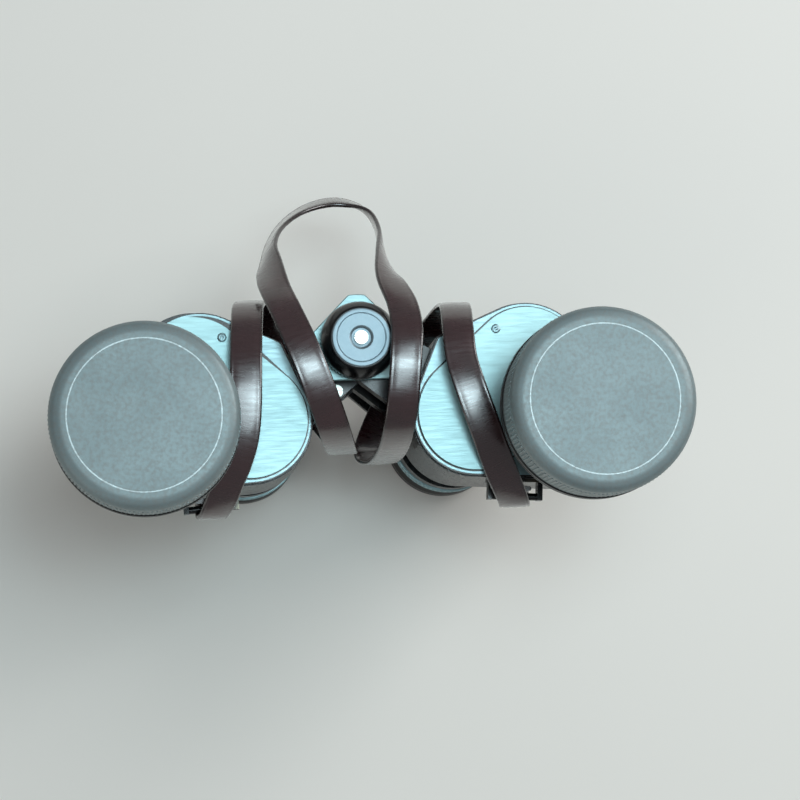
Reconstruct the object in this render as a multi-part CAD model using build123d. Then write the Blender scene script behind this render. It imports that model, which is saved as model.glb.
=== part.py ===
"""Prism binocular loupes standing on their eyecups, with a leather neck strap wound round both halves.

Millimetres. +Z is up, from the eyecup rims to the objective caps. The hinge axis is the Z axis, +X is the
side without the dioptre ring, and +Y is the side away from the fold of the two halves.
"""

import math
import os

from build123d import *

# Optical layout, seen along the hinge axis
eyepiece_spacing = 61.0
eyepiece_drop = 20.8
objective_spacing = 116.4
objective_drop = 22.7

# Heights above the eyecup rims
eyecup_height = 11.5
grip_ring_base = 14.0
grip_ring_height = 6.0
bridge_base = 22.0
bridge_thickness = 3.0
bridge_ring_height = 6.0
housing_rear = 40.0
focus_in_travel = 3.0
travel_gap = 0.9

# Prism housing
housing_radius = 16.8
housing_wall = 2.0
shoulder_x = 22.4
shoulder_y = -0.8
shoulder_radius = 1.4
shelf_thickness = 2.8
prism_seat_depth = 0.8
light_hole_radius = 8.2
front_hole_radius = 9.0
cover_thickness = 1.5
cover_margin = 1.3
cover_gap = 0.15
cover_head_room = 0.27
opening_clearance = 0.9
screw_head_radius = 1.25
screw_head_height = 0.3
screw_shank_radius = 0.7
screw_shank_length = 1.6

# Prisms and their spring clips
prism_half_width = 9.0
prism_end_clearance = 0.05
apex_flat = 1.0
clip_width = 8.0
clip_thickness = 0.5
clip_clearance = 0.15

# Objectives
collar_wall = 1.7
collar_height = 4.0
spigot_radius = 13.5
spigot_wall = 1.2
spigot_gap = 0.5
barrel_radius = 22.0
barrel_wall = 1.4
barrel_length = 38.0
cone_start = 6.0
cone_end = 18.0
barrel_ring_proud = 2.4
barrel_ring_start = 24.0
barrel_ring_height = 3.4
cell_length = 14.0
cell_wall = 2.0
cell_lip = 1.2
cell_inset = 1.0
lens_clearance = 0.05
objective_edge = 5.0
objective_sag = 2.0
retainer_height = 2.0
retainer_wall = 1.3

# Push-on objective caps
cap_height = 16.0
cap_wall = 1.92
cap_top = 2.2
cap_head_room = 3.8
cap_clearance = 0.08
cap_line_radius = 19.3
cap_line_width = 0.7
cap_line_depth = 0.25
cap_shoulder = 2.2
cap_shoulder_break = 0.66

# Eyepieces
guide_radius = 13.0
guide_wall = 1.4
guide_length = 14.4
guide_flange_proud = 1.5
guide_flange_thickness = 1.6
sleeve_clearance = 0.05
sleeve_wall = 1.25
sleeve_web = 2.0
ocular_clearance = 0.2
ocular_wall = 1.2
ocular_base = 8.0
ocular_top = 33.0
eye_lens_radius = 8.05
eye_lens_seat = 5.0
eye_lens_sag = 0.8
eye_lens_gap = 0.9
eye_lens_lip = 0.7
eye_lens_lip_height = 1.0
eye_ring_height = 1.8
eye_ring_wall = 0.9
field_lens_height = 27.0
field_lens_edge = 2.0
field_lens_sag = 1.4
eyecup_radius = 17.0
eyecup_band = 5.0
eyecup_neck_wall = 3.2
eyecup_lip = 1.4
eyecup_floor = 1.0
eyecup_hole_gap = 0.15
grip_ring_wall = 2.7
bridge_ring_wall = 2.3

# Hinge
lug_wall = 3.5
lug_thickness = 6.0
lug_gap = 0.1
rear_lug_inset = 2.0
front_lug_inset = 18.0
lug_root_radius = 11.0
axle_wall = 1.0
running_clearance = 0.05
hinge_plate_radius = 13.3
hinge_plate_flat = 10.2
hinge_plate_corner_flat = 10.9
hinge_plate_thickness = 2.0
axle_nut_wall = 2.3
axle_nut_thickness = 3.0

lock_screw_radius = 1.8
lock_screw_height = 1.3
lock_screw_shank = 0.9
lock_screw_depth = 4.0
lock_screw_place = (-6.0, -12.4)

# Focusing
spindle_radius = 2.4
spindle_journal_step = 0.6
spindle_collar_step = 2.6
spindle_collar_height = 2.0
spindle_reach = 1.3
hub_wall = 3.5
bridge_nut_height = 5.0
nut_cover = 0.5
wheel_radius = 10.6
wheel_height = 9.4
wheel_straight = 4.6
wheel_shoulder = 2.2
wheel_rim = 0.5
wheel_gap = 0.5
stem_wall = 1.0
stem_length = 15.0
stem_end_gap = 1.0
disc_thickness = 1.4
disc_seat = 0.8
disc_floor = 0.5
disc_screw_radius = 1.9
disc_screw_slot = 0.5
disc_recess_gap = 0.8
disc_screw_shank = 1.2
disc_screw_depth = 2.9

# Strap and its lugs
strap_width = 8.6
strap_thickness = 1.3
lug_plate_width = 15.0
lug_plate_height = 9.0
lug_plate_thickness = 1.2
lug_bar_radius = 1.0
lug_bar_reach = 4.9
lug_ear_thickness = 1.4
lug_bar_inset = 9.0
lug_position = 0.45

# Worked out from the values above
eyepiece_axis = Vector(eyepiece_spacing / 2, -eyepiece_drop)
objective_axis = Vector(objective_spacing / 2, -objective_drop)
axis_offset = objective_axis - eyepiece_axis
base_line = axis_offset.normalized()
away_from_base = Vector(-base_line.Y, base_line.X)
prism_axis = (eyepiece_axis + objective_axis) * 0.5 + away_from_base * (axis_offset.length / 2)
prism_run = (prism_axis - eyepiece_axis).length

shelf_web = shelf_thickness / 2 - prism_seat_depth
chamber_height = prism_run - apex_flat + clip_thickness + cover_head_room
shelf_middle = housing_rear + chamber_height + shelf_web
housing_front = shelf_middle + chamber_height + shelf_web
barrel_front = housing_front + barrel_length
cap_front = barrel_front + cap_head_room + cap_top
cover_radius = housing_radius - cover_margin
opening_radius = prism_half_width + opening_clearance
collar_radius = spigot_radius + collar_wall
spigot_bore = spigot_radius - spigot_wall
barrel_ring_radius = barrel_radius + barrel_ring_proud
barrel_bore = barrel_radius - barrel_wall
cell_bore = barrel_bore - cell_wall
cell_front = barrel_front - cell_inset
lens_seat = cell_front - cell_length + cell_lip * 2
cap_bore = barrel_radius + cap_clearance
cap_radius = cap_bore + cap_wall

guide_bore = guide_radius - guide_wall
guide_flange_radius = guide_radius + guide_flange_proud
guide_flange_rear = housing_rear - guide_flange_thickness
sleeve_bore = guide_radius + sleeve_clearance
sleeve_radius = sleeve_bore + sleeve_wall
sleeve_top = guide_flange_rear - focus_in_travel - travel_gap
ocular_radius = guide_bore - ocular_clearance
eyecup_neck_radius = ocular_radius + eyecup_neck_wall
grip_ring_radius = sleeve_radius + grip_ring_wall

stem_radius = spindle_radius + running_clearance + stem_wall
axle_bore = spindle_radius + 2 * running_clearance
axle_radius = stem_radius + running_clearance + axle_wall
lug_radius = axle_radius + lug_wall
rear_lug_height = housing_rear + rear_lug_inset
lug_pair_height = 2 * (lug_thickness + lug_gap)
front_lug_height = max(housing_front - front_lug_inset, rear_lug_height + lug_pair_height)
axle_rear = rear_lug_height - axle_nut_thickness
axle_front = front_lug_height + 2 * lug_thickness + 2 * lug_gap + hinge_plate_thickness
journal_radius = spindle_radius + spindle_journal_step
wheel_base = axle_front + wheel_gap
wheel_top = wheel_base + wheel_height
wheel_top_radius = wheel_radius - wheel_shoulder
disc_radius = wheel_top_radius - wheel_rim
disc_base = wheel_top - disc_seat
lug_bar_height = housing_front - lug_bar_inset


def placed(centre, solid):
    """Moves a solid made on the Z axis to one of the optical axes."""
    return Pos(centre.X, centre.Y, 0) * solid


def disc(radius, low, high):
    """A cylinder on the Z axis between two heights."""
    return Pos(0, 0, (low + high) / 2) * Cylinder(radius, high - low)


def ring(outer, inner, low, high):
    """A tube on the Z axis between two heights."""
    return disc(outer, low, high) - disc(inner, low, high)


def turned(points):
    """A solid of revolution about Z from (radius, height) points."""
    outline = Polyline(*[(radius, 0, height) for radius, height in points], close=True)
    return revolve(make_face(outline), Axis.Z)


def hull(circles, low, high):
    """An upright plate round a set of (centre, radius) circles."""
    edges = []
    for centre, radius in circles:
        edges += (Pos(centre.X, centre.Y, low) * Circle(radius)).edges()
    return extrude(Pos(0, 0, low) * make_hull([edge.moved(Pos(0, 0, -low)) for edge in edges]), high - low)


def slot(first, second, radius, low, high):
    """An upright plate with round ends about two axes."""
    return hull([(first, radius), (second, radius)], low, high)


def chamber(low, high):
    """The hollow round a prism: the housing's outline without its shoulder, less the wall."""
    inner_radius = housing_radius - housing_wall
    return hull([(axis, inner_radius) for axis in (eyepiece_axis, objective_axis, prism_axis)], low, high)


def housing_outline(low, high):
    """The prism housing's outline, with the solid shoulder that carries the hinge lugs."""
    corner = Vector(shoulder_x, shoulder_y)
    rounds = [(axis, housing_radius) for axis in (eyepiece_axis, objective_axis, prism_axis)]
    return hull(rounds + [(corner, shoulder_radius)], low, high)


def hinge_lug(height, bore):
    """One flat lug from the housing to the hinge axis."""
    root = Vector(eyepiece_axis.X, eyepiece_axis.Y)
    plate = hull([(Vector(0, 0), lug_radius), (root, lug_root_radius)], height, height + lug_thickness)
    inside = placed(root, disc(housing_radius - housing_wall / 2, height, height + lug_thickness))
    return plate - inside - disc(bore, height, height + lug_thickness)


def lug_heights(side):
    """The left lugs lie under the right lugs in each pair."""
    lift = 0 if side == "left" else lug_thickness + lug_gap
    return [rear_lug_height + lift, front_lug_height + lift]


def housing(side):
    """Thin-walled prism housing with a shelf between its two prism chambers and the hinge lugs."""
    half_shelf = shelf_thickness / 2
    body = housing_outline(housing_rear, housing_front)
    rear_chamber = (housing_rear + housing_wall, shelf_middle - half_shelf)
    front_chamber = (shelf_middle + half_shelf, housing_front - housing_wall)
    for low, high in (rear_chamber, front_chamber):
        body -= chamber(low, high)
    body -= slot(eyepiece_axis, prism_axis, opening_radius, shelf_middle + half_shelf, housing_front)
    body -= slot(objective_axis, prism_axis, opening_radius, housing_rear, shelf_middle - half_shelf)
    seat = prism_half_width + prism_end_clearance
    seat_top = shelf_middle + half_shelf
    seat_bottom = shelf_middle - half_shelf
    body -= slot(eyepiece_axis, prism_axis, seat, seat_top - prism_seat_depth, seat_top)
    body -= slot(objective_axis, prism_axis, seat, seat_bottom, seat_bottom + prism_seat_depth)
    for axis in (eyepiece_axis, objective_axis, prism_axis):
        body -= placed(axis, disc(light_hole_radius, seat_bottom, seat_top))
    body -= placed(eyepiece_axis, disc(front_hole_radius, housing_rear, seat_bottom))
    body -= placed(objective_axis, disc(front_hole_radius, seat_top, housing_front))
    collar_top = housing_front + collar_height
    body += placed(objective_axis, ring(collar_radius, spigot_radius, housing_front, collar_top))
    bore = axle_radius if side == "left" else axle_radius + running_clearance
    for height in lug_heights(side):
        body += hinge_lug(height, bore)
    for place in front_screw_places():
        body -= placed(place, disc(screw_shank_radius, housing_front - screw_shank_length, housing_front))
    for place in rear_screw_places():
        body -= placed(place, disc(screw_shank_radius, housing_rear, housing_rear + screw_shank_length))
    if side == "left":
        lug_face = front_lug_height + lug_thickness
        place = Vector(-lock_screw_place[0], lock_screw_place[1])
        body -= placed(place, disc(lock_screw_shank, lug_face - lock_screw_depth, lug_face))
    return body


def front_screw_places():
    """Screws near the free rim of the front cover."""
    rim = (cover_radius + opening_radius) / 2
    return [
        rim_point(prism_axis, 130, rim),
        rim_point(prism_axis, 50, rim),
        rim_point(eyepiece_axis, 300, rim),
    ]


def rear_screw_places():
    """Screws near the free rim of the rear cover."""
    rim = (cover_radius + opening_radius) / 2
    return [
        rim_point(prism_axis, 110, rim),
        rim_point(objective_axis, 10, rim),
        rim_point(objective_axis, 250, rim),
    ]


def rim_point(centre, degrees, radius):
    """A point on a circle round one of the optical axes."""
    angle = math.radians(degrees)
    return centre + Vector(math.cos(angle), math.sin(angle)) * radius


def front_cover():
    """Polished plate over the front prism, cut round the objective collar."""
    low, high = housing_front, housing_front + cover_thickness
    plate = slot(eyepiece_axis, prism_axis, cover_radius, low, high)
    plate -= placed(objective_axis, disc(collar_radius + cover_gap, low, high))
    for place in front_screw_places():
        plate -= placed(place, disc(screw_shank_radius, low, high))
    return plate


def rear_cover():
    """Plate over the rear prism, cut round the eyepiece guide."""
    low, high = housing_rear - cover_thickness, housing_rear
    plate = slot(objective_axis, prism_axis, cover_radius, low, high)
    plate -= placed(eyepiece_axis, disc(guide_flange_radius + cover_gap, low, high))
    for place in rear_screw_places():
        plate -= placed(place, disc(screw_shank_radius, low, high))
    return plate


def cover_screws():
    """Six small screws that hold the two covers."""
    screws = []
    top = housing_front + cover_thickness
    for place in front_screw_places():
        screw = disc(screw_head_radius, top, top + screw_head_height)
        screw += disc(screw_shank_radius, housing_front - screw_shank_length, top)
        screws.append(placed(place, screw))
    bottom = housing_rear - cover_thickness
    for place in rear_screw_places():
        screw = disc(screw_head_radius, bottom - screw_head_height, bottom)
        screw += disc(screw_shank_radius, bottom, housing_rear + screw_shank_length)
        screws.append(placed(place, screw))
    return Compound(children=screws)


def prism_block(far_axis, upward):
    """A Porro prism whose long face spans one axis and the shared prism axis."""
    half = prism_run
    height = half - apex_flat
    span = far_axis - prism_axis
    corners = [(-half, 0, 0), (half, 0, 0), (apex_flat, 0, height), (-apex_flat, 0, height)]
    outline = Polyline(*corners, close=True)
    block = extrude(make_face(outline), prism_half_width, both=True)
    ends = Vector(prism_run / 2, 0)
    block &= slot(ends * -1, ends, prism_half_width, 0, height)
    if not upward:
        block = Rot(180, 0, 0) * block
    middle = (far_axis + prism_axis) * 0.5
    turn = math.degrees(math.atan2(span.Y, span.X))
    lift = shelf_middle + (shelf_web if upward else -shelf_web)
    return Pos(middle.X, middle.Y, lift) * Rot(0, 0, turn) * block


def prism_clip(far_axis, upward):
    """Spring strip over a prism's blunt edge, with a leg on each side down to the shelf."""
    top = prism_run - apex_flat
    foot = prism_seat_depth
    inner = prism_half_width + clip_clearance
    outer = inner + clip_thickness
    strip_height = top + clip_thickness - foot
    strip = Pos(0, 0, foot + strip_height / 2) * Box(clip_width, 2 * outer, strip_height)
    strip -= Pos(0, 0, foot + (top - foot) / 2) * Box(clip_width, 2 * inner, top - foot)
    if not upward:
        strip = Rot(180, 0, 0) * strip
    span = far_axis - prism_axis
    middle = (far_axis + prism_axis) * 0.5
    turn = math.degrees(math.atan2(span.Y, span.X))
    lift = shelf_middle + (shelf_web if upward else -shelf_web)
    return Pos(middle.X, middle.Y, lift) * Rot(0, 0, turn) * strip


def objective_barrel():
    """Objective tube: a spigot in the collar, a cone, and a cylinder with a rim ring behind the cap."""
    base = housing_front
    ring_low = base + barrel_ring_start
    ring_high = ring_low + barrel_ring_height
    outside = [
        (spigot_radius, base + spigot_gap),
        (spigot_radius, base + collar_height),
        (collar_radius, base + collar_height),
        (collar_radius, base + cone_start),
        (barrel_radius, base + cone_end),
        (barrel_radius, ring_low),
        (barrel_ring_radius, ring_low),
        (barrel_ring_radius, ring_high),
        (barrel_radius, ring_high),
        (barrel_radius, barrel_front),
    ]
    inside = [
        (barrel_bore, barrel_front),
        (barrel_bore, base + cone_end + spigot_gap),
        (spigot_bore, base + cone_start - spigot_gap),
        (spigot_bore, base + spigot_gap),
    ]
    return placed(objective_axis, turned(outside + inside))


def objective_cell():
    """Lens cell inside the front of the barrel, with a lip behind the lens."""
    rear = cell_front - cell_length
    points = [
        (barrel_bore, rear),
        (barrel_bore, cell_front),
        (cell_bore, cell_front),
        (cell_bore, lens_seat),
        (cell_bore - cell_lip, lens_seat),
        (cell_bore - cell_lip, rear),
    ]
    return placed(objective_axis, turned(points))


def lens(radius, seat, edge, sag):
    """A lens on the Z axis with a flat seat, a straight edge and a domed face away from the seat."""
    direction = 1 if edge > 0 else -1
    crown = seat + edge + sag * direction
    dome_radius = (radius**2 + sag**2) / (2 * sag)
    dome = Pos(0, 0, crown - dome_radius * direction) * Sphere(dome_radius)
    return disc(radius, min(seat, crown), max(seat, crown)) & dome


def objective_lens():
    """Front lens of the objective."""
    radius = cell_bore - lens_clearance
    return placed(objective_axis, lens(radius, lens_seat, objective_edge, objective_sag))


def objective_retainer():
    """Threaded ring that holds the objective lens in its cell."""
    rim = cell_bore - retainer_wall
    sag_at_rim = objective_sag * (1 - (rim / cell_bore) ** 2)
    low = lens_seat + objective_edge + sag_at_rim + lens_clearance
    return placed(objective_axis, ring(cell_bore, rim, low, low + retainer_height))


def objective_cap():
    """Push-on cap with a fine engraved circle and a rounded shoulder."""
    low = cap_front - cap_height
    line_in = cap_line_radius - cap_line_width / 2
    line_out = cap_line_radius + cap_line_width / 2
    points = [
        (0, cap_front),
        (line_in, cap_front),
        (cap_line_radius, cap_front - cap_line_depth),
        (line_out, cap_front),
        (cap_radius - cap_shoulder, cap_front),
        (cap_radius - cap_shoulder_break, cap_front - cap_shoulder_break),
        (cap_radius, cap_front - cap_shoulder),
        (cap_radius, low),
        (cap_bore, low),
        (cap_bore, cap_front - cap_top),
        (0, cap_front - cap_top),
    ]
    return placed(objective_axis, turned(points))


def strap_lug():
    """Bracket on the housing's lower side with a round bar for the strap."""
    seat = eyepiece_axis + (objective_axis - eyepiece_axis) * lug_position - away_from_base * housing_radius
    plate_y = -lug_plate_thickness / 2
    lug = Pos(0, plate_y, 0) * Box(lug_plate_width, lug_plate_thickness, lug_plate_height)
    ear_x = (lug_plate_width - lug_ear_thickness) / 2
    ear_depth = lug_bar_reach + lug_bar_radius
    for x in (-ear_x, ear_x):
        lug += Pos(x, -ear_depth / 2, 0) * Box(lug_ear_thickness, ear_depth, 4 * lug_bar_radius)
    bar = Rot(0, 90, 0) * Cylinder(lug_bar_radius, lug_plate_width)
    lug += Pos(0, -lug_bar_reach, 0) * bar
    turn = math.degrees(math.atan2(base_line.Y, base_line.X))
    return Pos(seat.X, seat.Y, lug_bar_height) * Rot(0, 0, turn) * lug


def eyepiece_guide():
    """Fixed tube behind the housing that the eyepiece slides on."""
    points = [
        (guide_bore, guide_flange_rear - guide_length),
        (guide_radius, guide_flange_rear - guide_length),
        (guide_radius, guide_flange_rear),
        (guide_flange_radius, guide_flange_rear),
        (guide_flange_radius, housing_rear),
        (guide_bore, housing_rear),
    ]
    return placed(eyepiece_axis, turned(points))


def eyepiece_sleeve():
    """Sliding tube over the guide, with a web that carries the ocular."""
    points = [
        (ocular_radius + sleeve_clearance, grip_ring_base),
        (sleeve_radius, grip_ring_base),
        (sleeve_radius, sleeve_top),
        (sleeve_bore, sleeve_top),
        (sleeve_bore, grip_ring_base + sleeve_web),
        (ocular_radius + sleeve_clearance, grip_ring_base + sleeve_web),
    ]
    return placed(eyepiece_axis, turned(points))


def grip_ring(side):
    """Ribbed ring round the sleeve: it turns for the dioptre on the left and is fixed on the right."""
    clearance = sleeve_clearance if side == "left" else 0
    top = grip_ring_base + grip_ring_height
    return placed(eyepiece_axis, ring(grip_ring_radius, sleeve_radius + clearance, grip_ring_base, top))


def ocular_barrel():
    """Lens tube of the eyepiece, stepped for the two lenses."""
    bore = ocular_radius - ocular_wall
    seat = ocular_base + eye_lens_seat
    lip = eye_lens_radius - eye_lens_lip
    points = [
        (eye_lens_radius + lens_clearance, ocular_base),
        (ocular_radius, ocular_base),
        (ocular_radius, ocular_top),
        (bore, ocular_top),
        (bore, seat + eye_lens_lip_height),
        (lip, seat + eye_lens_lip_height),
        (lip, seat),
        (eye_lens_radius + lens_clearance, seat),
    ]
    return placed(eyepiece_axis, turned(points))


def eye_lens():
    """Lens next to the eye."""
    seat = ocular_base + eye_lens_seat
    edge = eye_lens_seat - eye_ring_height - eye_lens_gap
    return placed(eyepiece_axis, lens(eye_lens_radius, seat, -edge, eye_lens_sag))


def eye_lens_ring():
    """Ring that holds the eye lens."""
    outer = eye_lens_radius + lens_clearance
    top = ocular_base + eye_ring_height
    return placed(eyepiece_axis, ring(outer, outer - eye_ring_wall, ocular_base, top))


def field_lens():
    """Lens at the far end of the eyepiece tube."""
    radius = ocular_radius - ocular_wall - lens_clearance
    return placed(eyepiece_axis, lens(radius, field_lens_height, field_lens_edge, field_lens_sag))


def eyecup():
    """Flared cup on the end of the ocular, with a hollow for the eye."""
    floor = ocular_base - eyecup_floor
    hole = eye_lens_radius + eyecup_hole_gap
    points = [
        (eyecup_radius - eyecup_lip, 0),
        (eyecup_radius, 0),
        (eyecup_radius, eyecup_band),
        (eyecup_neck_radius, eyecup_height),
        (ocular_radius, eyecup_height),
        (ocular_radius, ocular_base),
        (hole, ocular_base),
        (hole, floor),
    ]
    return placed(eyepiece_axis, turned(points))


def bridge_arm(side):
    """Flat arm from the focusing spindle to a ring round the eyepiece sleeve."""
    lift = 0 if side == "left" else bridge_thickness + running_clearance
    low = bridge_base + lift
    high = low + bridge_thickness
    ring_top = bridge_base + bridge_ring_height + running_clearance
    outer = sleeve_radius + bridge_ring_wall
    arm = hull([(Vector(0, 0), journal_radius + hub_wall), (eyepiece_axis, ocular_radius)], low, high)
    arm += placed(eyepiece_axis, disc(outer, bridge_base, ring_top))
    arm -= placed(eyepiece_axis, disc(sleeve_radius, bridge_base, ring_top))
    bore = journal_radius + (0 if side == "left" else running_clearance)
    return arm - disc(bore, low, high)


def hinge_axle():
    """Hollow hinge axle, wider inside at the front for the wheel's stem."""
    step = wheel_base - stem_length - stem_end_gap
    points = [
        (axle_bore, axle_rear),
        (axle_radius, axle_rear),
        (axle_radius, axle_front),
        (stem_radius + running_clearance, axle_front),
        (stem_radius + running_clearance, step),
        (axle_bore, step),
    ]
    return turned(points)


def hinge_plate():
    """Bright plate on the front of the hinge, with a flat below and two across its upper corners."""
    low = axle_front - hinge_plate_thickness
    plate = ring(hinge_plate_radius, axle_radius, low, axle_front)
    cut = 2 * hinge_plate_radius
    for turn, flat in ((0, hinge_plate_flat), (135, hinge_plate_corner_flat), (225, hinge_plate_corner_flat)):
        block = Pos(0, -flat - cut / 2, (low + axle_front) / 2) * Box(cut, cut, cut)
        plate -= Rot(0, 0, turn) * block
    return plate


def axle_nut():
    """Hexagonal nut on the rear end of the axle."""
    nut = extrude(Pos(0, 0, axle_rear) * RegularPolygon(axle_radius + axle_nut_wall, 6), axle_nut_thickness)
    return nut - disc(axle_radius, axle_rear, rear_lug_height)


def lock_screw():
    """Slotted screw that locks the axle in the left front lug."""
    low = front_lug_height + lug_thickness
    screw = disc(lock_screw_radius, low, low + lock_screw_height)
    slot_cut = Box(3 * lock_screw_radius, disc_screw_slot, 2 * disc_screw_slot)
    screw -= Pos(0, 0, low + lock_screw_height) * slot_cut
    screw += disc(lock_screw_shank, low - lock_screw_depth, low)
    return placed(Vector(*lock_screw_place), screw)


def focus_spindle():
    """Threaded spindle through the axle, with a journal for the two bridge arms."""
    journal_low = bridge_base
    journal_high = bridge_base + 2 * bridge_thickness + 2 * running_clearance
    collar_high = journal_high + spindle_collar_height
    spindle = disc(spindle_radius, bridge_base - bridge_nut_height + nut_cover, wheel_base + spindle_reach)
    spindle += disc(journal_radius, journal_low, journal_high)
    return spindle + disc(spindle_radius + spindle_collar_step, journal_high, collar_high)


def bridge_nut():
    """Domed nut under the bridge arms."""
    low = bridge_base - bridge_nut_height
    nut = disc(spindle_radius + spindle_collar_step, low, bridge_base)
    nut = chamfer(nut.faces().sort_by(Axis.Z)[0].edges(), spindle_radius / 2)
    return nut - disc(spindle_radius, low + nut_cover, bridge_base)


def focus_wheel():
    """Black focusing wheel with a stem that runs in the axle and drives the spindle."""
    bore = spindle_radius + running_clearance
    bore_top = wheel_base + 2 * spindle_reach + focus_in_travel
    shoulder_height = (wheel_height - wheel_straight) / 3
    points = [
        (bore, wheel_base - stem_length),
        (stem_radius, wheel_base - stem_length),
        (stem_radius, wheel_base),
        (wheel_radius, wheel_base),
        (wheel_radius, wheel_base + wheel_straight),
        (wheel_radius - wheel_shoulder / 4, wheel_base + wheel_straight + shoulder_height),
        (wheel_top_radius, wheel_top),
        (disc_radius, wheel_top),
        (disc_radius, disc_base),
        (0, disc_base),
        (0, bore_top),
        (bore, bore_top),
    ]
    return turned(points) - disc(disc_screw_shank, disc_base - disc_screw_depth, disc_base)


def wheel_disc():
    """Plain silver disc in the wheel's face."""
    top = disc_base + disc_thickness
    floor = disc_base + disc_floor
    disc_body = disc(disc_radius, disc_base, top)
    disc_body -= disc(disc_screw_radius + disc_recess_gap, floor, top)
    return disc_body - disc(disc_screw_shank, disc_base, floor)


def wheel_screw():
    """Screw through the disc into the wheel."""
    top = disc_base + disc_thickness
    floor = disc_base + disc_floor
    head = disc(disc_screw_radius, floor, top)
    head -= Pos(0, 0, top) * Box(2 * disc_screw_radius, disc_screw_slot, 2 * disc_screw_slot)
    return head + disc(disc_screw_shank, disc_base - disc_screw_depth, floor)


# Strap routes: the middle of the strap's thickness, then the direction that its outer face looks
left_route = [
    ((-41.5, -41.5, 74.2), (0.0, 1.0, 0.1)),
    ((-41.5, -41.2, 71.2), (0.0, 1.0, -0.1)),
    ((-41.5, -42.1, 69.2), (0.0, 0.6, -0.8)),
    ((-41.5, -44.4, 69.0), (0.0, -0.5, -0.85)),
    ((-41.4, -45.6, 71.0), (0.0, -1.0, -0.1)),
    ((-40.6, -44.8, 75.0), (0.1, -0.9, 0.3)),
    ((-38.8, -41.6, 79.2), (0.0, -0.8, 0.6)),
    ((-36.9, -37.0, 83.0), (0.0, -0.5, 0.85)),
    ((-34.8, -32.4, 85.8), (0.0, -0.3, 0.95)),
    ((-32.8, -26.2, 87.6), (0.0, -0.15, 1.0)),
    ((-31.8, -18.8, 88.5), (0.0, 0.0, 1.0)),
    ((-31.4, -10.8, 88.6), (0.0, 0.1, 1.0)),
    ((-31.0, -2.8, 87.2), (0.0, 0.3, 0.95)),
    ((-30.4, 5.0, 82.6), (0.0, 0.7, 0.7)),
    ((-29.6, 10.8, 75.6), (0.0, 0.9, 0.4)),
    ((-28.0, 13.2, 66.0), (0.0, 1.0, 0.1)),
    ((-27.0, 13.2, 55.0), (0.0, 1.0, -0.15)),
    ((-24.6, 10.0, 44.6), (0.1, 0.8, -0.6)),
    ((-20.6, 3.4, 37.0), (0.2, 0.4, -0.9)),
    ((-15.4, -5.2, 35.2), (0.0, 0.05, -1.0)),
    ((-9.6, -14.2, 36.4), (0.0, -0.2, -1.0)),
    ((-4.8, -22.2, 41.2), (0.0, -0.7, -0.7)),
    ((-3.8, -27.0, 51.0), (0.0, -0.95, -0.3)),
    ((-4.6, -28.6, 63.0), (0.0, -1.0, 0.0)),
    ((-6.4, -27.4, 75.0), (0.0, -0.9, 0.4)),
    ((-8.2, -23.8, 83.0), (0.0, -0.6, 0.8)),
    ((-10.4, -18.0, 87.4), (0.0, -0.25, 0.97)),
    ((-12.7, -11.6, 89.3), (0.0, 0.0, 1.0)),
    ((-15.0, -5.0, 89.7), (0.0, 0.1, 1.0)),
    ((-17.5, 1.8, 88.2), (0.0, 0.3, 0.95)),
    ((-20.0, 8.8, 83.8), (-0.05, 0.5, 0.85)),
    ((-22.2, 15.6, 77.0), (-0.15, 0.6, 0.75)),
]
loop_route = [
    ((-22.2, 15.6, 77.0), (-0.15, 0.6, 0.75)),
    ((-23.0, 21.6, 69.6), (-0.5, 0.5, 0.7)),
    ((-22.8, 27.6, 61.6), (-0.85, 0.2, 0.5)),
    ((-20.4, 34.0, 54.4), (-0.85, 0.4, 0.35)),
    ((-15.6, 39.8, 48.8), (-0.6, 0.75, 0.3)),
    ((-9.0, 43.8, 45.2), (-0.25, 0.9, 0.35)),
    ((-2.0, 45.2, 43.8), (0.05, 0.92, 0.38)),
    ((4.4, 43.4, 44.6), (0.5, 0.8, 0.3)),
    ((8.2, 38.4, 48.4), (0.95, 0.35, 0.1)),
    ((9.2, 31.4, 55.6), (1.0, 0.05, 0.1)),
    ((9.2, 24.2, 65.6), (0.85, 0.3, 0.45)),
    ((9.8, 16.8, 75.8), (0.3, 0.65, 0.7)),
]
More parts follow.
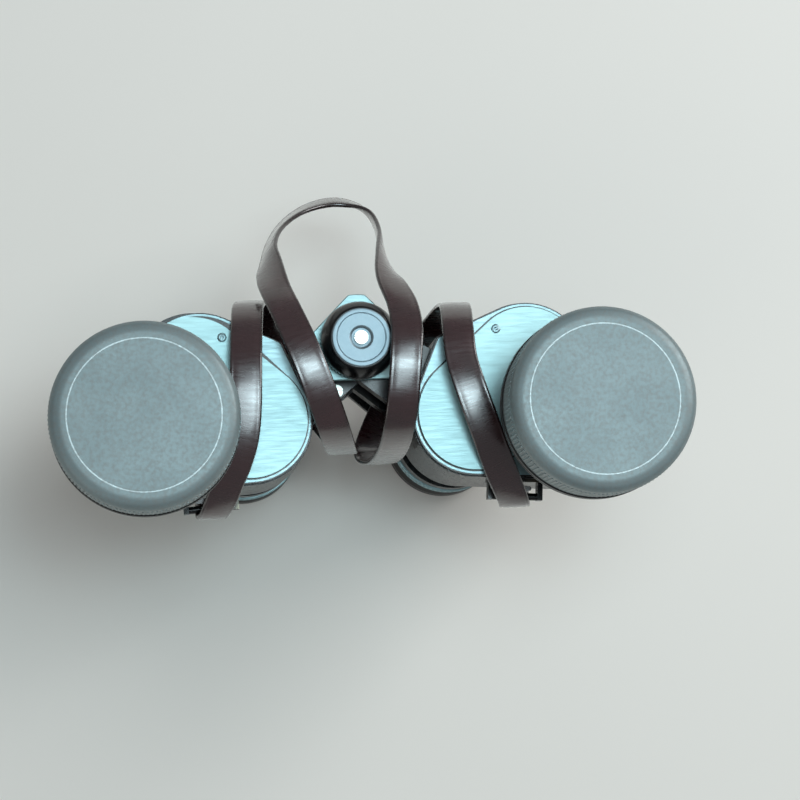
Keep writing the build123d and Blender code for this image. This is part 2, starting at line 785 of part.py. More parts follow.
right_route = [
    ((9.8, 16.8, 75.8), (0.3, 0.65, 0.7)),
    ((11.8, 9.2, 83.2), (0.1, 0.55, 0.85)),
    ((12.2, 1.8, 88.4), (0.0, 0.3, 0.95)),
    ((11.6, -5.2, 89.8), (0.0, 0.1, 1.0)),
    ((10.9, -12.0, 89.4), (0.0, -0.05, 1.0)),
    ((10.2, -18.4, 87.8), (0.0, -0.25, 0.97)),
    ((9.4, -24.2, 83.6), (0.0, -0.6, 0.8)),
    ((8.8, -28.0, 76.0), (0.0, -0.9, 0.4)),
    ((8.0, -30.4, 64.0), (0.0, -1.0, 0.0)),
    ((6.4, -30.8, 51.0), (0.0, -0.95, -0.3)),
    ((4.8, -26.8, 38.8), (0.0, -0.7, -0.7)),
    ((9.2, -16.6, 33.6), (0.0, -0.2, -1.0)),
    ((15.4, -6.0, 33.6), (0.0, 0.05, -1.0)),
    ((20.4, 2.4, 37.0), (-0.2, 0.4, -0.9)),
    ((24.2, 7.6, 45.0), (-0.1, 0.8, -0.6)),
    ((26.6, 10.4, 56.0), (0.0, 1.0, -0.1)),
    ((27.4, 10.8, 67.0), (0.0, 1.0, 0.15)),
    ((26.9, 8.2, 78.0), (0.0, 0.9, 0.45)),
    ((26.3, 1.6, 85.4), (0.0, 0.55, 0.85)),
    ((26.6, -6.8, 88.0), (0.0, 0.2, 1.0)),
    ((28.4, -14.4, 89.2), (0.0, 0.0, 1.0)),
    ((30.9, -22.4, 88.8), (0.0, -0.1, 1.0)),
    ((33.5, -29.8, 87.0), (0.0, -0.25, 0.97)),
    ((36.2, -36.4, 83.4), (0.0, -0.5, 0.85)),
    ((38.8, -41.6, 79.2), (0.0, -0.8, 0.6)),
    ((40.6, -44.8, 75.0), (-0.1, -0.9, 0.3)),
    ((41.4, -45.6, 71.0), (0.0, -1.0, -0.1)),
    ((41.5, -44.4, 69.0), (0.0, -0.5, -0.85)),
    ((41.5, -42.1, 69.2), (0.0, 0.6, -0.8)),
    ((41.5, -41.2, 71.2), (0.0, 1.0, -0.1)),
    ((41.5, -41.5, 74.2), (0.0, 1.0, 0.1)),
]
steps_per_span = 2


def between(before, start, end, after, share):
    """A point on a smooth curve from start to end."""
    pull_in = (end - before) * 0.5
    pull_out = (after - start) * 0.5
    cubed, squared = share**3, share**2
    return (
        start * (2 * cubed - 3 * squared + 1)
        + pull_in * (cubed - 2 * squared + share)
        + end * (3 * squared - 2 * cubed)
        + pull_out * (cubed - squared)
    )


def smooth(values, before, after):
    """More vectors along a list of them, on one smooth curve, given the neighbours past its ends."""
    padded = [before, *values, after]
    result = []
    for index in range(1, len(padded) - 2):
        for step in range(steps_per_span):
            result.append(between(*padded[index - 1 : index + 3], step / steps_per_span))
    return [*result, values[-1]]


def strap_sections(route, before=None, after=None):
    """Rectangles across the strap, one at each point of the smoothed route."""
    points = [Vector(*point) for point, _ in route]
    faces = [Vector(*face) for _, face in route]
    first = Vector(*before[0]) if before else points[0] * 2 - points[1]
    last = Vector(*after[0]) if after else points[-1] * 2 - points[-2]
    first_face = Vector(*before[1]) if before else faces[0]
    last_face = Vector(*after[1]) if after else faces[-1]
    path = smooth(points, first, last)
    looks = smooth(faces, first_face, last_face)
    sections = []
    for index, point in enumerate(path):
        if index == 0:
            along = (points[1] - first).normalized()
        elif index == len(path) - 1:
            along = (last - points[-2]).normalized()
        else:
            along = (path[index + 1] - path[index - 1]).normalized()
        across = along.cross(looks[index]).normalized()
        outward = across.cross(along).normalized()
        wide = across * (strap_width / 2)
        thick = outward * (strap_thickness / 2)
        inner_edge = [point - wide - thick, point + wide - thick]
        outer_edge = [point + wide + thick, point - wide + thick]
        sections.append(inner_edge + outer_edge)
    return sections


def strap_piece(route, before=None, after=None):
    """A closed solid of flat triangles round the strap's rectangles."""
    sections = strap_sections(route, before, after)
    panels = [Face(Wire.make_polygon(sections[0])), Face(Wire.make_polygon(sections[-1]))]
    for near, far in zip(sections, sections[1:]):
        for corner in range(4):
            following = (corner + 1) % 4
            quad = (near[corner], near[following], far[following], far[corner])
            panels.append(Face(Wire.make_polygon([quad[0], quad[1], quad[2]])))
            panels.append(Face(Wire.make_polygon([quad[0], quad[2], quad[3]])))
    solid = Solid(Shell(panels))
    return solid if solid.volume > 0 else Solid(-solid)


def side_nodes(side):
    """Every piece of one half, made on the +X side."""
    return {
        "housing": housing(side),
        "front_cover": front_cover(),
        "rear_cover": rear_cover(),
        "cover_screws": cover_screws(),
        "prism_front": prism_block(eyepiece_axis, True),
        "prism_rear": prism_block(objective_axis, False),
        "prism_clip_front": prism_clip(eyepiece_axis, True),
        "prism_clip_rear": prism_clip(objective_axis, False),
        "objective_barrel": objective_barrel(),
        "objective_cell": objective_cell(),
        "objective_lens": objective_lens(),
        "objective_retainer": objective_retainer(),
        "objective_cap": objective_cap(),
        "strap_lug": strap_lug(),
        "eyepiece_guide": eyepiece_guide(),
        "eyepiece_sleeve": eyepiece_sleeve(),
        "dioptre_ring" if side == "left" else "grip_ring": grip_ring(side),
        "ocular_barrel": ocular_barrel(),
        "field_lens": field_lens(),
        "eye_lens": eye_lens(),
        "eye_lens_ring": eye_lens_ring(),
        "eyecup": eyecup(),
        "bridge_arm": bridge_arm(side),
    }


def all_nodes():
    """Every piece of the binocular by its name."""
    nodes = {}
    for side in ("left", "right"):
        for name, piece in side_nodes(side).items():
            nodes[f"{side}_{name}"] = mirror(piece, about=Plane.YZ) if side == "left" else piece
    nodes["hinge_axle"] = hinge_axle()
    nodes["hinge_plate"] = hinge_plate()
    nodes["axle_nut"] = axle_nut()
    nodes["lock_screw"] = lock_screw()
    nodes["focus_spindle"] = focus_spindle()
    nodes["bridge_nut"] = bridge_nut()
    nodes["focus_wheel"] = focus_wheel()
    nodes["wheel_disc"] = wheel_disc()
    nodes["wheel_screw"] = wheel_screw()
    nodes["strap_left"] = strap_piece(left_route, after=loop_route[1])
    nodes["strap_loop"] = strap_piece(loop_route, before=left_route[-2], after=right_route[1])
    nodes["strap_right"] = strap_piece(right_route, before=loop_route[-2])
    return nodes


os.makedirs("parts", exist_ok=True)
for node, solid in all_nodes().items():
    export_step(solid, f"parts/{node}.step")
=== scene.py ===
import math

import bmesh
import bpy
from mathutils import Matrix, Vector, geometry


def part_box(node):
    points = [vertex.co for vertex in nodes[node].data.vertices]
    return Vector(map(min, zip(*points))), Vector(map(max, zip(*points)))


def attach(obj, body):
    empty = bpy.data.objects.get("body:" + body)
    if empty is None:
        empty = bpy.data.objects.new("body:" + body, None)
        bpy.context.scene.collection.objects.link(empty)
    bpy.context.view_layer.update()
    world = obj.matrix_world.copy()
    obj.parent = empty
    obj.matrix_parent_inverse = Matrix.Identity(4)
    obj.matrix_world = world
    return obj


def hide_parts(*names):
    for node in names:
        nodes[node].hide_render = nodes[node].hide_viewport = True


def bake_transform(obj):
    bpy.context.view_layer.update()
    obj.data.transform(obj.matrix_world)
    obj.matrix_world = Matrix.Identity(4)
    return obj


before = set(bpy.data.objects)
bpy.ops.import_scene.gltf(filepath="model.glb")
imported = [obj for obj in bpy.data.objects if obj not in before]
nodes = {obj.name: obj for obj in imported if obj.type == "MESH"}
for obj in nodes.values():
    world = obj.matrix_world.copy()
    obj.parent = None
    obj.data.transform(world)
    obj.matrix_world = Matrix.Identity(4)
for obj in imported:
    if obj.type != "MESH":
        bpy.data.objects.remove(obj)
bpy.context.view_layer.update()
mm = 0.001
sides = {"left": -1, "right": 1}
bpy.context.scene.view_settings.view_transform = "Standard"


# ---- small helpers for node trees, meshes and finished pieces

def addNode(tree, kind, settings=None, inputs=None):
    node = tree.nodes.new(kind)
    for name, value in (settings or {}).items():
        setattr(node, name, value)
    for name, value in (inputs or {}).items():
        if isinstance(value, bpy.types.NodeSocket):
            tree.links.new(value, node.inputs[name])
        else:
            node.inputs[name].default_value = value
    return node


def linearColour(code):
    values = [int(code[i:i + 2], 16) / 255 for i in (1, 3, 5)]
    linear = [v / 12.92 if v <= 0.04045 else ((v + 0.055) / 1.055) ** 2.4 for v in values]
    return (*linear, 1.0)


def perMm(size):
    return 1000 / size  # texture scale that gives a pattern of this size in millimetres


def newFinish(name):
    finish = bpy.data.materials.new(name)
    finish.use_nodes = True
    return finish, finish.node_tree, finish.node_tree.nodes["Principled BSDF"]


def setFinish(piece, *finishes):
    picks = [min(face.material_index, len(finishes) - 1) for face in piece.data.polygons]
    piece.data.materials.clear()
    for finish in finishes:
        piece.data.materials.append(finish)
    piece.data.polygons.foreach_set("material_index", picks)


def settle(piece):
    bpy.context.view_layer.update()
    graph = bpy.context.evaluated_depsgraph_get()
    made = bpy.data.meshes.new_from_object(
        piece.evaluated_get(graph), preserve_all_data_layers=True, depsgraph=graph)
    made.name = piece.name
    piece.modifiers.clear()
    piece.data = made
    return piece


def smoothShade(piece, angle=38):
    for face in piece.data.polygons:
        face.use_smooth = True
    piece.data.set_sharp_from_angle(angle=math.radians(angle))
    weighted = piece.modifiers.new("even", "WEIGHTED_NORMAL")
    weighted.keep_sharp = True
    return settle(piece)


def mount(piece, body, slotName, *replaced):
    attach(piece, body)
    if replaced:
        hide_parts(*replaced)
    return piece


def meshPiece(name, points, faces, finishes):
    mesh = bpy.data.meshes.new(name)
    mesh.from_pydata(points, [], faces)
    piece = bpy.data.objects.new(name, mesh)
    bpy.context.scene.collection.objects.link(piece)
    setFinish(piece, *finishes)
    return piece


def nodeAxis(node):
    low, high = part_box(node)
    middle = (low + high) / 2
    return Vector((middle.x, middle.y, 0)), low.z / mm, high.z / mm, (high.x - low.x) / 2 / mm


# ---- finishes

def nickelPlate(name, tint="#afcfd0", shade="#9bbcc0", roughness=(0.46, 0.54)):
    # nickel plate left satin by a fine wire wheel: bright but soft, faint clouds and hair scratches
    finish, tree, shader = newFinish(name)
    place = addNode(tree, "ShaderNodeTexCoord").outputs["Object"]
    cloud = addNode(tree, "ShaderNodeTexNoise", None,
                    {"Vector": place, "Scale": perMm(16), "Detail": 3.0})
    tone = addNode(tree, "ShaderNodeMix", {"data_type": "RGBA"},
                   {0: cloud.outputs[0], 6: linearColour(shade), 7: linearColour(tint)})
    tree.links.new(tone.outputs[2], shader.inputs["Base Color"])
    stretch = addNode(tree, "ShaderNodeMapping", None,
                      {"Vector": place, "Rotation": (0, 0, 0.6), "Scale": (1, 14, 3)})
    hair = addNode(tree, "ShaderNodeTexNoise", None,
                   {"Vector": stretch.outputs[0], "Scale": perMm(6), "Detail": 5.0})
    rough = addNode(tree, "ShaderNodeMapRange", None,
                    {"Value": hair.outputs[0], "From Min": 0.35, "From Max": 0.7,
                     "To Min": roughness[0], "To Max": roughness[1]})
    tree.links.new(rough.outputs[0], shader.inputs["Roughness"])
    bump = addNode(tree, "ShaderNodeBump", None,
                   {"Height": hair.outputs[0], "Strength": 0.015, "Distance": 0.02 * mm})
    tree.links.new(bump.outputs[0], shader.inputs["Normal"])
    shader.inputs["Metallic"].default_value = 1.0
    return finish


def capEnamel(name, shade="#707e80", tint="#879698"):
    # air-dried grey enamel on a spun brass cap: fine dust in the coat and a soft cloudiness
    finish, tree, shader = newFinish(name)
    place = addNode(tree, "ShaderNodeTexCoord").outputs["Object"]
    dust = addNode(tree, "ShaderNodeTexNoise", None,
                   {"Vector": place, "Scale": perMm(0.9), "Detail": 4.0})
    cloud = addNode(tree, "ShaderNodeTexNoise", None,
                    {"Vector": place, "Scale": perMm(11), "Detail": 3.0})
    body = addNode(tree, "ShaderNodeMix", {"data_type": "RGBA"},
                   {0: cloud.outputs[0], 6: linearColour(shade), 7: linearColour(tint)})
    spread = addNode(tree, "ShaderNodeMapRange", None,
                     {"Value": dust.outputs[0], "From Min": 0.42, "From Max": 0.68, "To Min": 0.0,
                      "To Max": 0.34})
    speck = addNode(tree, "ShaderNodeMix", {"data_type": "RGBA"},
                    {0: spread.outputs[0], 6: body.outputs[2], 7: linearColour("#7d7874")})
    tree.links.new(speck.outputs[2], shader.inputs["Base Color"])
    rough = addNode(tree, "ShaderNodeMapRange", None,
                    {"Value": dust.outputs[0], "To Min": 0.36, "To Max": 0.56})
    tree.links.new(rough.outputs[0], shader.inputs["Roughness"])
    bump = addNode(tree, "ShaderNodeBump", None,
                   {"Height": dust.outputs[0], "Strength": 0.25, "Distance": 0.05 * mm})
    tree.links.new(bump.outputs[0], shader.inputs["Normal"])
    shader.inputs["Metallic"].default_value = 0.35
    shader.inputs["IOR"].default_value = 1.52
    return finish


def stovedLacquer(name, base="#0d0e10", worn="#6f6a5c", wear=(0.54, 0.62)):
    # black stoving lacquer on brass: slight orange peel, gloss, metal showing through on the edges
    finish, tree, shader = newFinish(name)
    place = addNode(tree, "ShaderNodeTexCoord").outputs["Object"]
    peel = addNode(tree, "ShaderNodeTexNoise", None,
                   {"Vector": place, "Scale": perMm(1.4), "Detail": 2.0})
    smear = addNode(tree, "ShaderNodeTexNoise", None, {"Vector": place, "Scale": perMm(7), "Detail": 5.0})
    edge = addNode(tree, "ShaderNodeNewGeometry")
    sharp = addNode(tree, "ShaderNodeMapRange", None,
                    {"Value": edge.outputs["Pointiness"], "From Min": wear[0], "From Max": wear[1]})
    patchy = addNode(tree, "ShaderNodeMapRange", None,
                     {"Value": smear.outputs[0], "From Min": 0.45, "From Max": 0.62})
    rubbed = addNode(tree, "ShaderNodeMath", {"operation": "MULTIPLY"},
                     {0: sharp.outputs[0], 1: patchy.outputs[0]})
    colour = addNode(tree, "ShaderNodeMix", {"data_type": "RGBA"},
                     {0: rubbed.outputs[0], 6: linearColour(base), 7: linearColour(worn)})
    tree.links.new(colour.outputs[2], shader.inputs["Base Color"])
    tree.links.new(rubbed.outputs[0], shader.inputs["Metallic"])
    rough = addNode(tree, "ShaderNodeMapRange", None,
                    {"Value": smear.outputs[0], "To Min": 0.16, "To Max": 0.4})
    tree.links.new(rough.outputs[0], shader.inputs["Roughness"])
    bump = addNode(tree, "ShaderNodeBump", None,
                   {"Height": peel.outputs[0], "Strength": 0.18, "Distance": 0.05 * mm})
    tree.links.new(bump.outputs[0], shader.inputs["Normal"])
    return finish


def pebbledLeatherette():
    # pyroxylin-coated cloth pressed in a pebble grain of about 0.8 mm, rubbed smooth on the tops
    finish, tree, shader = newFinish("pebbledLeatherette")
    place = addNode(tree, "ShaderNodeTexCoord").outputs["Object"]
    warp = addNode(tree, "ShaderNodeTexNoise", None, {"Vector": place, "Scale": perMm(2), "Detail": 2.0})
    bent = addNode(tree, "ShaderNodeVectorMath", {"operation": "MULTIPLY_ADD"},
                   {0: warp.outputs[1], 1: (0.3 * mm,) * 3, 2: place})
    pebble = addNode(tree, "ShaderNodeTexVoronoi", {"feature": "SMOOTH_F1"},
                     {"Vector": bent.outputs[0], "Scale": perMm(0.8), "Smoothness": 0.4})
    colour = addNode(tree, "ShaderNodeMix", {"data_type": "RGBA"},
                     {0: pebble.outputs["Distance"], 6: linearColour("#111214"),
                      7: linearColour("#060607")})
    tree.links.new(colour.outputs[2], shader.inputs["Base Color"])
    rough = addNode(tree, "ShaderNodeMapRange", None,
                    {"Value": pebble.outputs["Distance"], "To Min": 0.18, "To Max": 0.42})
    tree.links.new(rough.outputs[0], shader.inputs["Roughness"])
    bump = addNode(tree, "ShaderNodeBump", {"invert": True},
                   {"Height": pebble.outputs["Distance"], "Strength": 0.3, "Distance": 0.12 * mm})
    tree.links.new(bump.outputs[0], shader.inputs["Normal"])
    return finish


def strapLeather():
    # vegetable-tanned calf, dyed brown, glazed and burnished at the edges: hair-cell grain, cross
    # creases, dull rubbed streaks
    finish, tree, shader = newFinish("glazedStrapLeather")
    along = addNode(tree, "ShaderNodeUVMap", {"uv_map": "strapRun"}).outputs[0]
    place = addNode(tree, "ShaderNodeTexCoord").outputs["Object"]
    split = addNode(tree, "ShaderNodeSeparateXYZ", None, {0: along})
    tone = addNode(tree, "ShaderNodeTexNoise", None, {"Vector": along, "Scale": perMm(9), "Detail": 6.0})
    body = addNode(tree, "ShaderNodeMix", {"data_type": "RGBA"},
                   {0: tone.outputs[0], 6: linearColour("#1c0b0c"), 7: linearColour("#3e1c20")})
    across = addNode(tree, "ShaderNodeMath", {"operation": "ABSOLUTE"}, {0: split.outputs[1]})
    border = addNode(tree, "ShaderNodeMapRange", None,
                     {"Value": across.outputs[0], "From Min": 3.4 * mm, "From Max": 4.2 * mm,
                      "To Max": 0.75})
    burnished = addNode(tree, "ShaderNodeMix", {"data_type": "RGBA"},
                        {0: border.outputs[0], 6: body.outputs[2], 7: linearColour("#170a0a")})
    tree.links.new(burnished.outputs[2], shader.inputs["Base Color"])
    cell = addNode(tree, "ShaderNodeTexVoronoi", {"feature": "SMOOTH_F1"},
                   {"Vector": place, "Scale": perMm(0.55), "Smoothness": 0.6})
    squeezed = addNode(tree, "ShaderNodeMapping", None, {"Vector": along, "Scale": (6, 0.7, 1)})
    crease = addNode(tree, "ShaderNodeTexNoise", None,
                     {"Vector": squeezed.outputs[0], "Scale": perMm(5), "Detail": 5.0})
    rough = addNode(tree, "ShaderNodeMapRange", None,
                    {"Value": crease.outputs[0], "From Min": 0.3, "From Max": 0.7, "To Min": 0.22,
                     "To Max": 0.36})
    tree.links.new(rough.outputs[0], shader.inputs["Roughness"])
    relief = addNode(tree, "ShaderNodeMath", {"operation": "MULTIPLY_ADD"},
                     {0: cell.outputs["Distance"], 1: 0.35, 2: crease.outputs[0]})
    bump = addNode(tree, "ShaderNodeBump", None,
                   {"Height": relief.outputs[0], "Strength": 0.22, "Distance": 0.1 * mm})
    tree.links.new(bump.outputs[0], shader.inputs["Normal"])
    shader.inputs["Coat Weight"].default_value = 1.0
    shader.inputs["Coat Roughness"].default_value = 0.16
    shader.inputs["Specular IOR Level"].default_value = 0.9
    return finish


def mouldedPhenolic():
    # compression-moulded black phenolic, polished in the mould: deep gloss with a faint brown bloom
    finish, tree, shader = newFinish("mouldedPhenolic")
    place = addNode(tree, "ShaderNodeTexCoord").outputs["Object"]
    bloom = addNode(tree, "ShaderNodeTexNoise", None, {"Vector": place, "Scale": perMm(5), "Detail": 6.0})
    colour = addNode(tree, "ShaderNodeMix", {"data_type": "RGBA"},
                     {0: bloom.outputs[0], 6: linearColour("#0b0a0a"), 7: linearColour("#1d1613")})
    tree.links.new(colour.outputs[2], shader.inputs["Base Color"])
    rough = addNode(tree, "ShaderNodeMapRange", None,
                    {"Value": bloom.outputs[0], "To Min": 0.2, "To Max": 0.46})
    tree.links.new(rough.outputs[0], shader.inputs["Roughness"])
    fine = addNode(tree, "ShaderNodeTexNoise", None,
                   {"Vector": place, "Scale": perMm(0.5), "Detail": 2.0})
    bump = addNode(tree, "ShaderNodeBump", None, {"Height": fine.outputs[0], "Strength": 0.1,
                                                  "Distance": 0.03 * mm})
    tree.links.new(bump.outputs[0], shader.inputs["Normal"])
    return finish


def turnedAluminium():
    # faced on a lathe and clear lacquered: fine rings about the wheel's axis, 0.35 mm apart so that they
    # still show
    finish, tree, shader = newFinish("turnedAluminium")
    place = addNode(tree, "ShaderNodeTexCoord").outputs["Object"]
    flat = addNode(tree, "ShaderNodeVectorMath", {"operation": "MULTIPLY"}, {0: place, 1: (1, 1, 0)})
    reach = addNode(tree, "ShaderNodeVectorMath", {"operation": "LENGTH"}, {0: flat.outputs[0]})
    turns = addNode(tree, "ShaderNodeMath", {"operation": "MULTIPLY"},
                    {0: reach.outputs["Value"], 1: 2 * math.pi * perMm(0.35)})
    wave = addNode(tree, "ShaderNodeMath", {"operation": "SINE"}, {0: turns.outputs[0]})
    cloud = addNode(tree, "ShaderNodeTexNoise", None,
                    {"Vector": place, "Scale": perMm(2.2), "Detail": 4.0})
    colour = addNode(tree, "ShaderNodeMix", {"data_type": "RGBA"},
                     {0: cloud.outputs[0], 6: linearColour("#8497a0"), 7: linearColour("#a6bac3")})
    tree.links.new(colour.outputs[2], shader.inputs["Base Color"])
    rough = addNode(tree, "ShaderNodeMapRange", None,
                    {"Value": cloud.outputs[0], "To Min": 0.46, "To Max": 0.56})
    tree.links.new(rough.outputs[0], shader.inputs["Roughness"])
    bump = addNode(tree, "ShaderNodeBump", None, {"Height": wave.outputs[0], "Strength": 0.12,
                                                  "Distance": 0.02 * mm})
    tree.links.new(bump.outputs[0], shader.inputs["Normal"])
    shader.inputs["Metallic"].default_value = 1.0
    return finish


def brightSteel(name, dark="#8d9291", light="#c6c9c4"):
    # machined steel wiped with oil: long tool marks and small dull stains
    finish, tree, shader = newFinish(name)
    place = addNode(tree, "ShaderNodeTexCoord").outputs["Object"]
    stain = addNode(tree, "ShaderNodeTexNoise", None,
                    {"Vector": place, "Scale": perMm(1.8), "Detail": 6.0})
    colour = addNode(tree, "ShaderNodeMix", {"data_type": "RGBA"},
                     {0: stain.outputs[0], 6: linearColour(dark), 7: linearColour(light)})
    tree.links.new(colour.outputs[2], shader.inputs["Base Color"])
    rough = addNode(tree, "ShaderNodeMapRange", None,
                    {"Value": stain.outputs[0], "To Min": 0.18, "To Max": 0.42})
    tree.links.new(rough.outputs[0], shader.inputs["Roughness"])
    mark = addNode(tree, "ShaderNodeTexWave", {"bands_direction": "Z"},
                   {"Vector": place, "Scale": perMm(1.2), "Distortion": 2.0})
    bump = addNode(tree, "ShaderNodeBump", None, {"Height": mark.outputs["Fac"], "Strength": 0.05,
                                                  "Distance": 0.02 * mm})
    tree.links.new(bump.outputs[0], shader.inputs["Normal"])
    shader.inputs["Metallic"].default_value = 1.0
    return finish


def blackenedBrass():
    # brass blackened in a chemical bath and grooved against glare: matt, brown where the bath was thin
    finish, tree, shader = newFinish("blackenedBrass")
    place = addNode(tree, "ShaderNodeTexCoord").outputs["Object"]
    bath = addNode(tree, "ShaderNodeTexNoise", None, {"Vector": place, "Scale": perMm(4), "Detail": 6.0})
    colour = addNode(tree, "ShaderNodeMix", {"data_type": "RGBA"},
                     {0: bath.outputs[0], 6: linearColour("#0c0b0a"), 7: linearColour("#2b241a")})
    tree.links.new(colour.outputs[2], shader.inputs["Base Color"])
    rough = addNode(tree, "ShaderNodeMapRange", None,
                    {"Value": bath.outputs[0], "To Min": 0.45, "To Max": 0.7})
    tree.links.new(rough.outputs[0], shader.inputs["Roughness"])
    groove = addNode(tree, "ShaderNodeTexWave", {"bands_direction": "Z"},
                     {"Vector": place, "Scale": perMm(1.2)})
    bump = addNode(tree, "ShaderNodeBump", None, {"Height": groove.outputs["Fac"], "Strength": 0.4,
                                                  "Distance": 0.1 * mm})
    tree.links.new(bump.outputs[0], shader.inputs["Normal"])
    shader.inputs["Metallic"].default_value = 0.6
    return finish


def opticalGlass(name, tint):
    # ground and polished crown glass, uncoated: clear, with a trace of dust on the surface
    finish, tree, shader = newFinish(name)
    place = addNode(tree, "ShaderNodeTexCoord").outputs["Object"]
    dust = addNode(tree, "ShaderNodeTexNoise", None, {"Vector": place, "Scale": perMm(3), "Detail": 6.0})
    rough = addNode(tree, "ShaderNodeMapRange", None,
                    {"Value": dust.outputs[0], "To Min": 0.0, "To Max": 0.06})
    tree.links.new(rough.outputs[0], shader.inputs["Roughness"])
    shader.inputs["Base Color"].default_value = linearColour(tint)
    shader.inputs["Transmission Weight"].default_value = 1.0
    shader.inputs["IOR"].default_value = 1.52
    return finish


plate = nickelPlate("satinNickelPlate")
rimPlate = nickelPlate("rubbedNickelPlate", "#a6c2c6", "#8ba6ac", (0.4, 0.5))
enamel = capEnamel("greyCapEnamel")
# the cap enamel in pale colours, a painted highlight: it fills the engraved ring on each cap so that the
# ring reads as a bright line of light
highlightLineEnamel = capEnamel("paleLineEnamel", "#b2c2c4", "#ccd9db")
lacquer = stovedLacquer("stovedBlackLacquer")
wheelLacquer = stovedLacquer("wheelBlackLacquer", "#0b0b0d", "#3d3b38", (0.56, 0.66))
leatherette = pebbledLeatherette()
leather = strapLeather()
phenolic = mouldedPhenolic()
aluminium = turnedAluminium()
steel = brightSteel("machinedSteel")
screwSteel = brightSteel("screwSteel", "#767a76", "#b4b8b0")
springSteel = brightSteel("bluedSpringSteel", "#2c3440", "#5b6672")
blackened = blackenedBrass()
lensGlass = opticalGlass("polishedLensGlass", "#f4fbf7")
prismGlass = opticalGlass("polishedPrismGlass", "#eef8f4")
print("finishes made")


# ---- camera, light and floor

camera = {"place": (-54.17, -84.08, 706.41), "turn": (6.3811, -5.5863, -2.6356), "lens": 105.4}
lamps = [
    {"name": "overhead", "place": (0.10, 0.035, 1.05), "aim": (0, -0.02, 0.08), "size": 0.42,
     "power": 3.1, "colour": "#e2f8ff"},
    {"name": "tube", "place": (0.10, 0.035, 1.03), "aim": (0, -0.02, 0.08), "size": 0.16, "power": 0.8,
     "colour": "#d8f6ff"},
    {"name": "window", "place": (0.75, 0.35, 0.7), "aim": (0, 0, 0.06), "size": 0.5, "power": 5.2,
     "colour": "#ffffff"},
    {"name": "fill", "place": (-0.8, -0.6, 0.6), "aim": (0, 0, 0.05), "size": 0.7, "power": 1.3,
     "colour": "#fff8f0"},
]
floorSettings = {"size": 6.0, "paint": "#f3efe9", "shade": "#eae6df"}

cameraData = bpy.data.cameras.new("camera")
cameraData.lens = camera["lens"]
cameraData.clip_start = 0.01
cameraObject = bpy.data.objects.new("camera", cameraData)
cameraObject.location = Vector(camera["place"]) * mm
cameraObject.rotation_euler = [math.radians(v) for v in camera["turn"]]
bpy.context.scene.collection.objects.link(cameraObject)
bpy.context.scene.camera = cameraObject

for lamp in lamps:
    light = bpy.data.lights.new(lamp["name"], "AREA")
    light.size = lamp["size"]
    light.energy = lamp["power"]
    light.color = linearColour(lamp["colour"])[:3]
    lightObject = bpy.data.objects.new(lamp["name"], light)
    lightObject.location = lamp["place"]
    gaze = Vector(lamp["aim"]) - Vector(lamp["place"])
    lightObject.rotation_euler = gaze.to_track_quat("-Z", "Y").to_euler()
    bpy.context.scene.collection.objects.link(lightObject)

world = bpy.data.worlds.new("studio")
world.use_nodes = True
world.node_tree.nodes["Background"].inputs["Color"].default_value = linearColour("#d9dde0")
world.node_tree.nodes["Background"].inputs["Strength"].default_value = 0.3
bpy.context.scene.world = world

half = floorSettings["size"] / 2
floorPaint, floorTree, floorShader = newFinish("paleTablePaint")
floorPlace = addNode(floorTree, "ShaderNodeTexCoord").outputs["Object"]
floorCloud = addNode(floorTree, "ShaderNodeTexNoise", None,
                     {"Vector": floorPlace, "Scale": perMm(400), "Detail": 4.0})
floorTone = addNode(floorTree, "ShaderNodeMix", {"data_type": "RGBA"},
                    {0: floorCloud.outputs[0], 6: linearColour(floorSettings["paint"]),
                     7: linearColour(floorSettings["shade"])})
floorTree.links.new(floorTone.outputs[2], floorShader.inputs["Base Color"])
floorShader.inputs["Roughness"].default_value = 0.8
floor = meshPiece("table", [(-half, -half, 0), (half, -half, 0), (half, half, 0), (-half, half, 0)],
                  [(0, 1, 2, 3)], [floorPaint])
print("camera, lamps and table placed")


# ---- ways of making pieces

def roundedProfile(points, roundness, steps=3):
    # points go round a closed outline of (radius, height); corners off the axis get a small round
    rounded = []
    count = len(points)
    for index in range(count):
        here = Vector(points[index][:2])
        before = Vector(points[index - 1][:2])
        after = Vector(points[(index + 1) % count][:2])
        size = points[index][2] if len(points[index]) > 2 else roundness
        back, ahead = before - here, after - here
        cut = min(size, back.length * 0.42, ahead.length * 0.42)
        if here.x < 1e-6 or cut < 1e-3 or back.angle(ahead) > math.radians(168):
            rounded.append(here)
            continue
        start, end = here + back.normalized() * cut, here + ahead.normalized() * cut
        for step in range(steps + 1):
            share = step / steps
            rounded.append(start * (1 - share) ** 2 + here * 2 * share * (1 - share) + end * share ** 2)
    return rounded


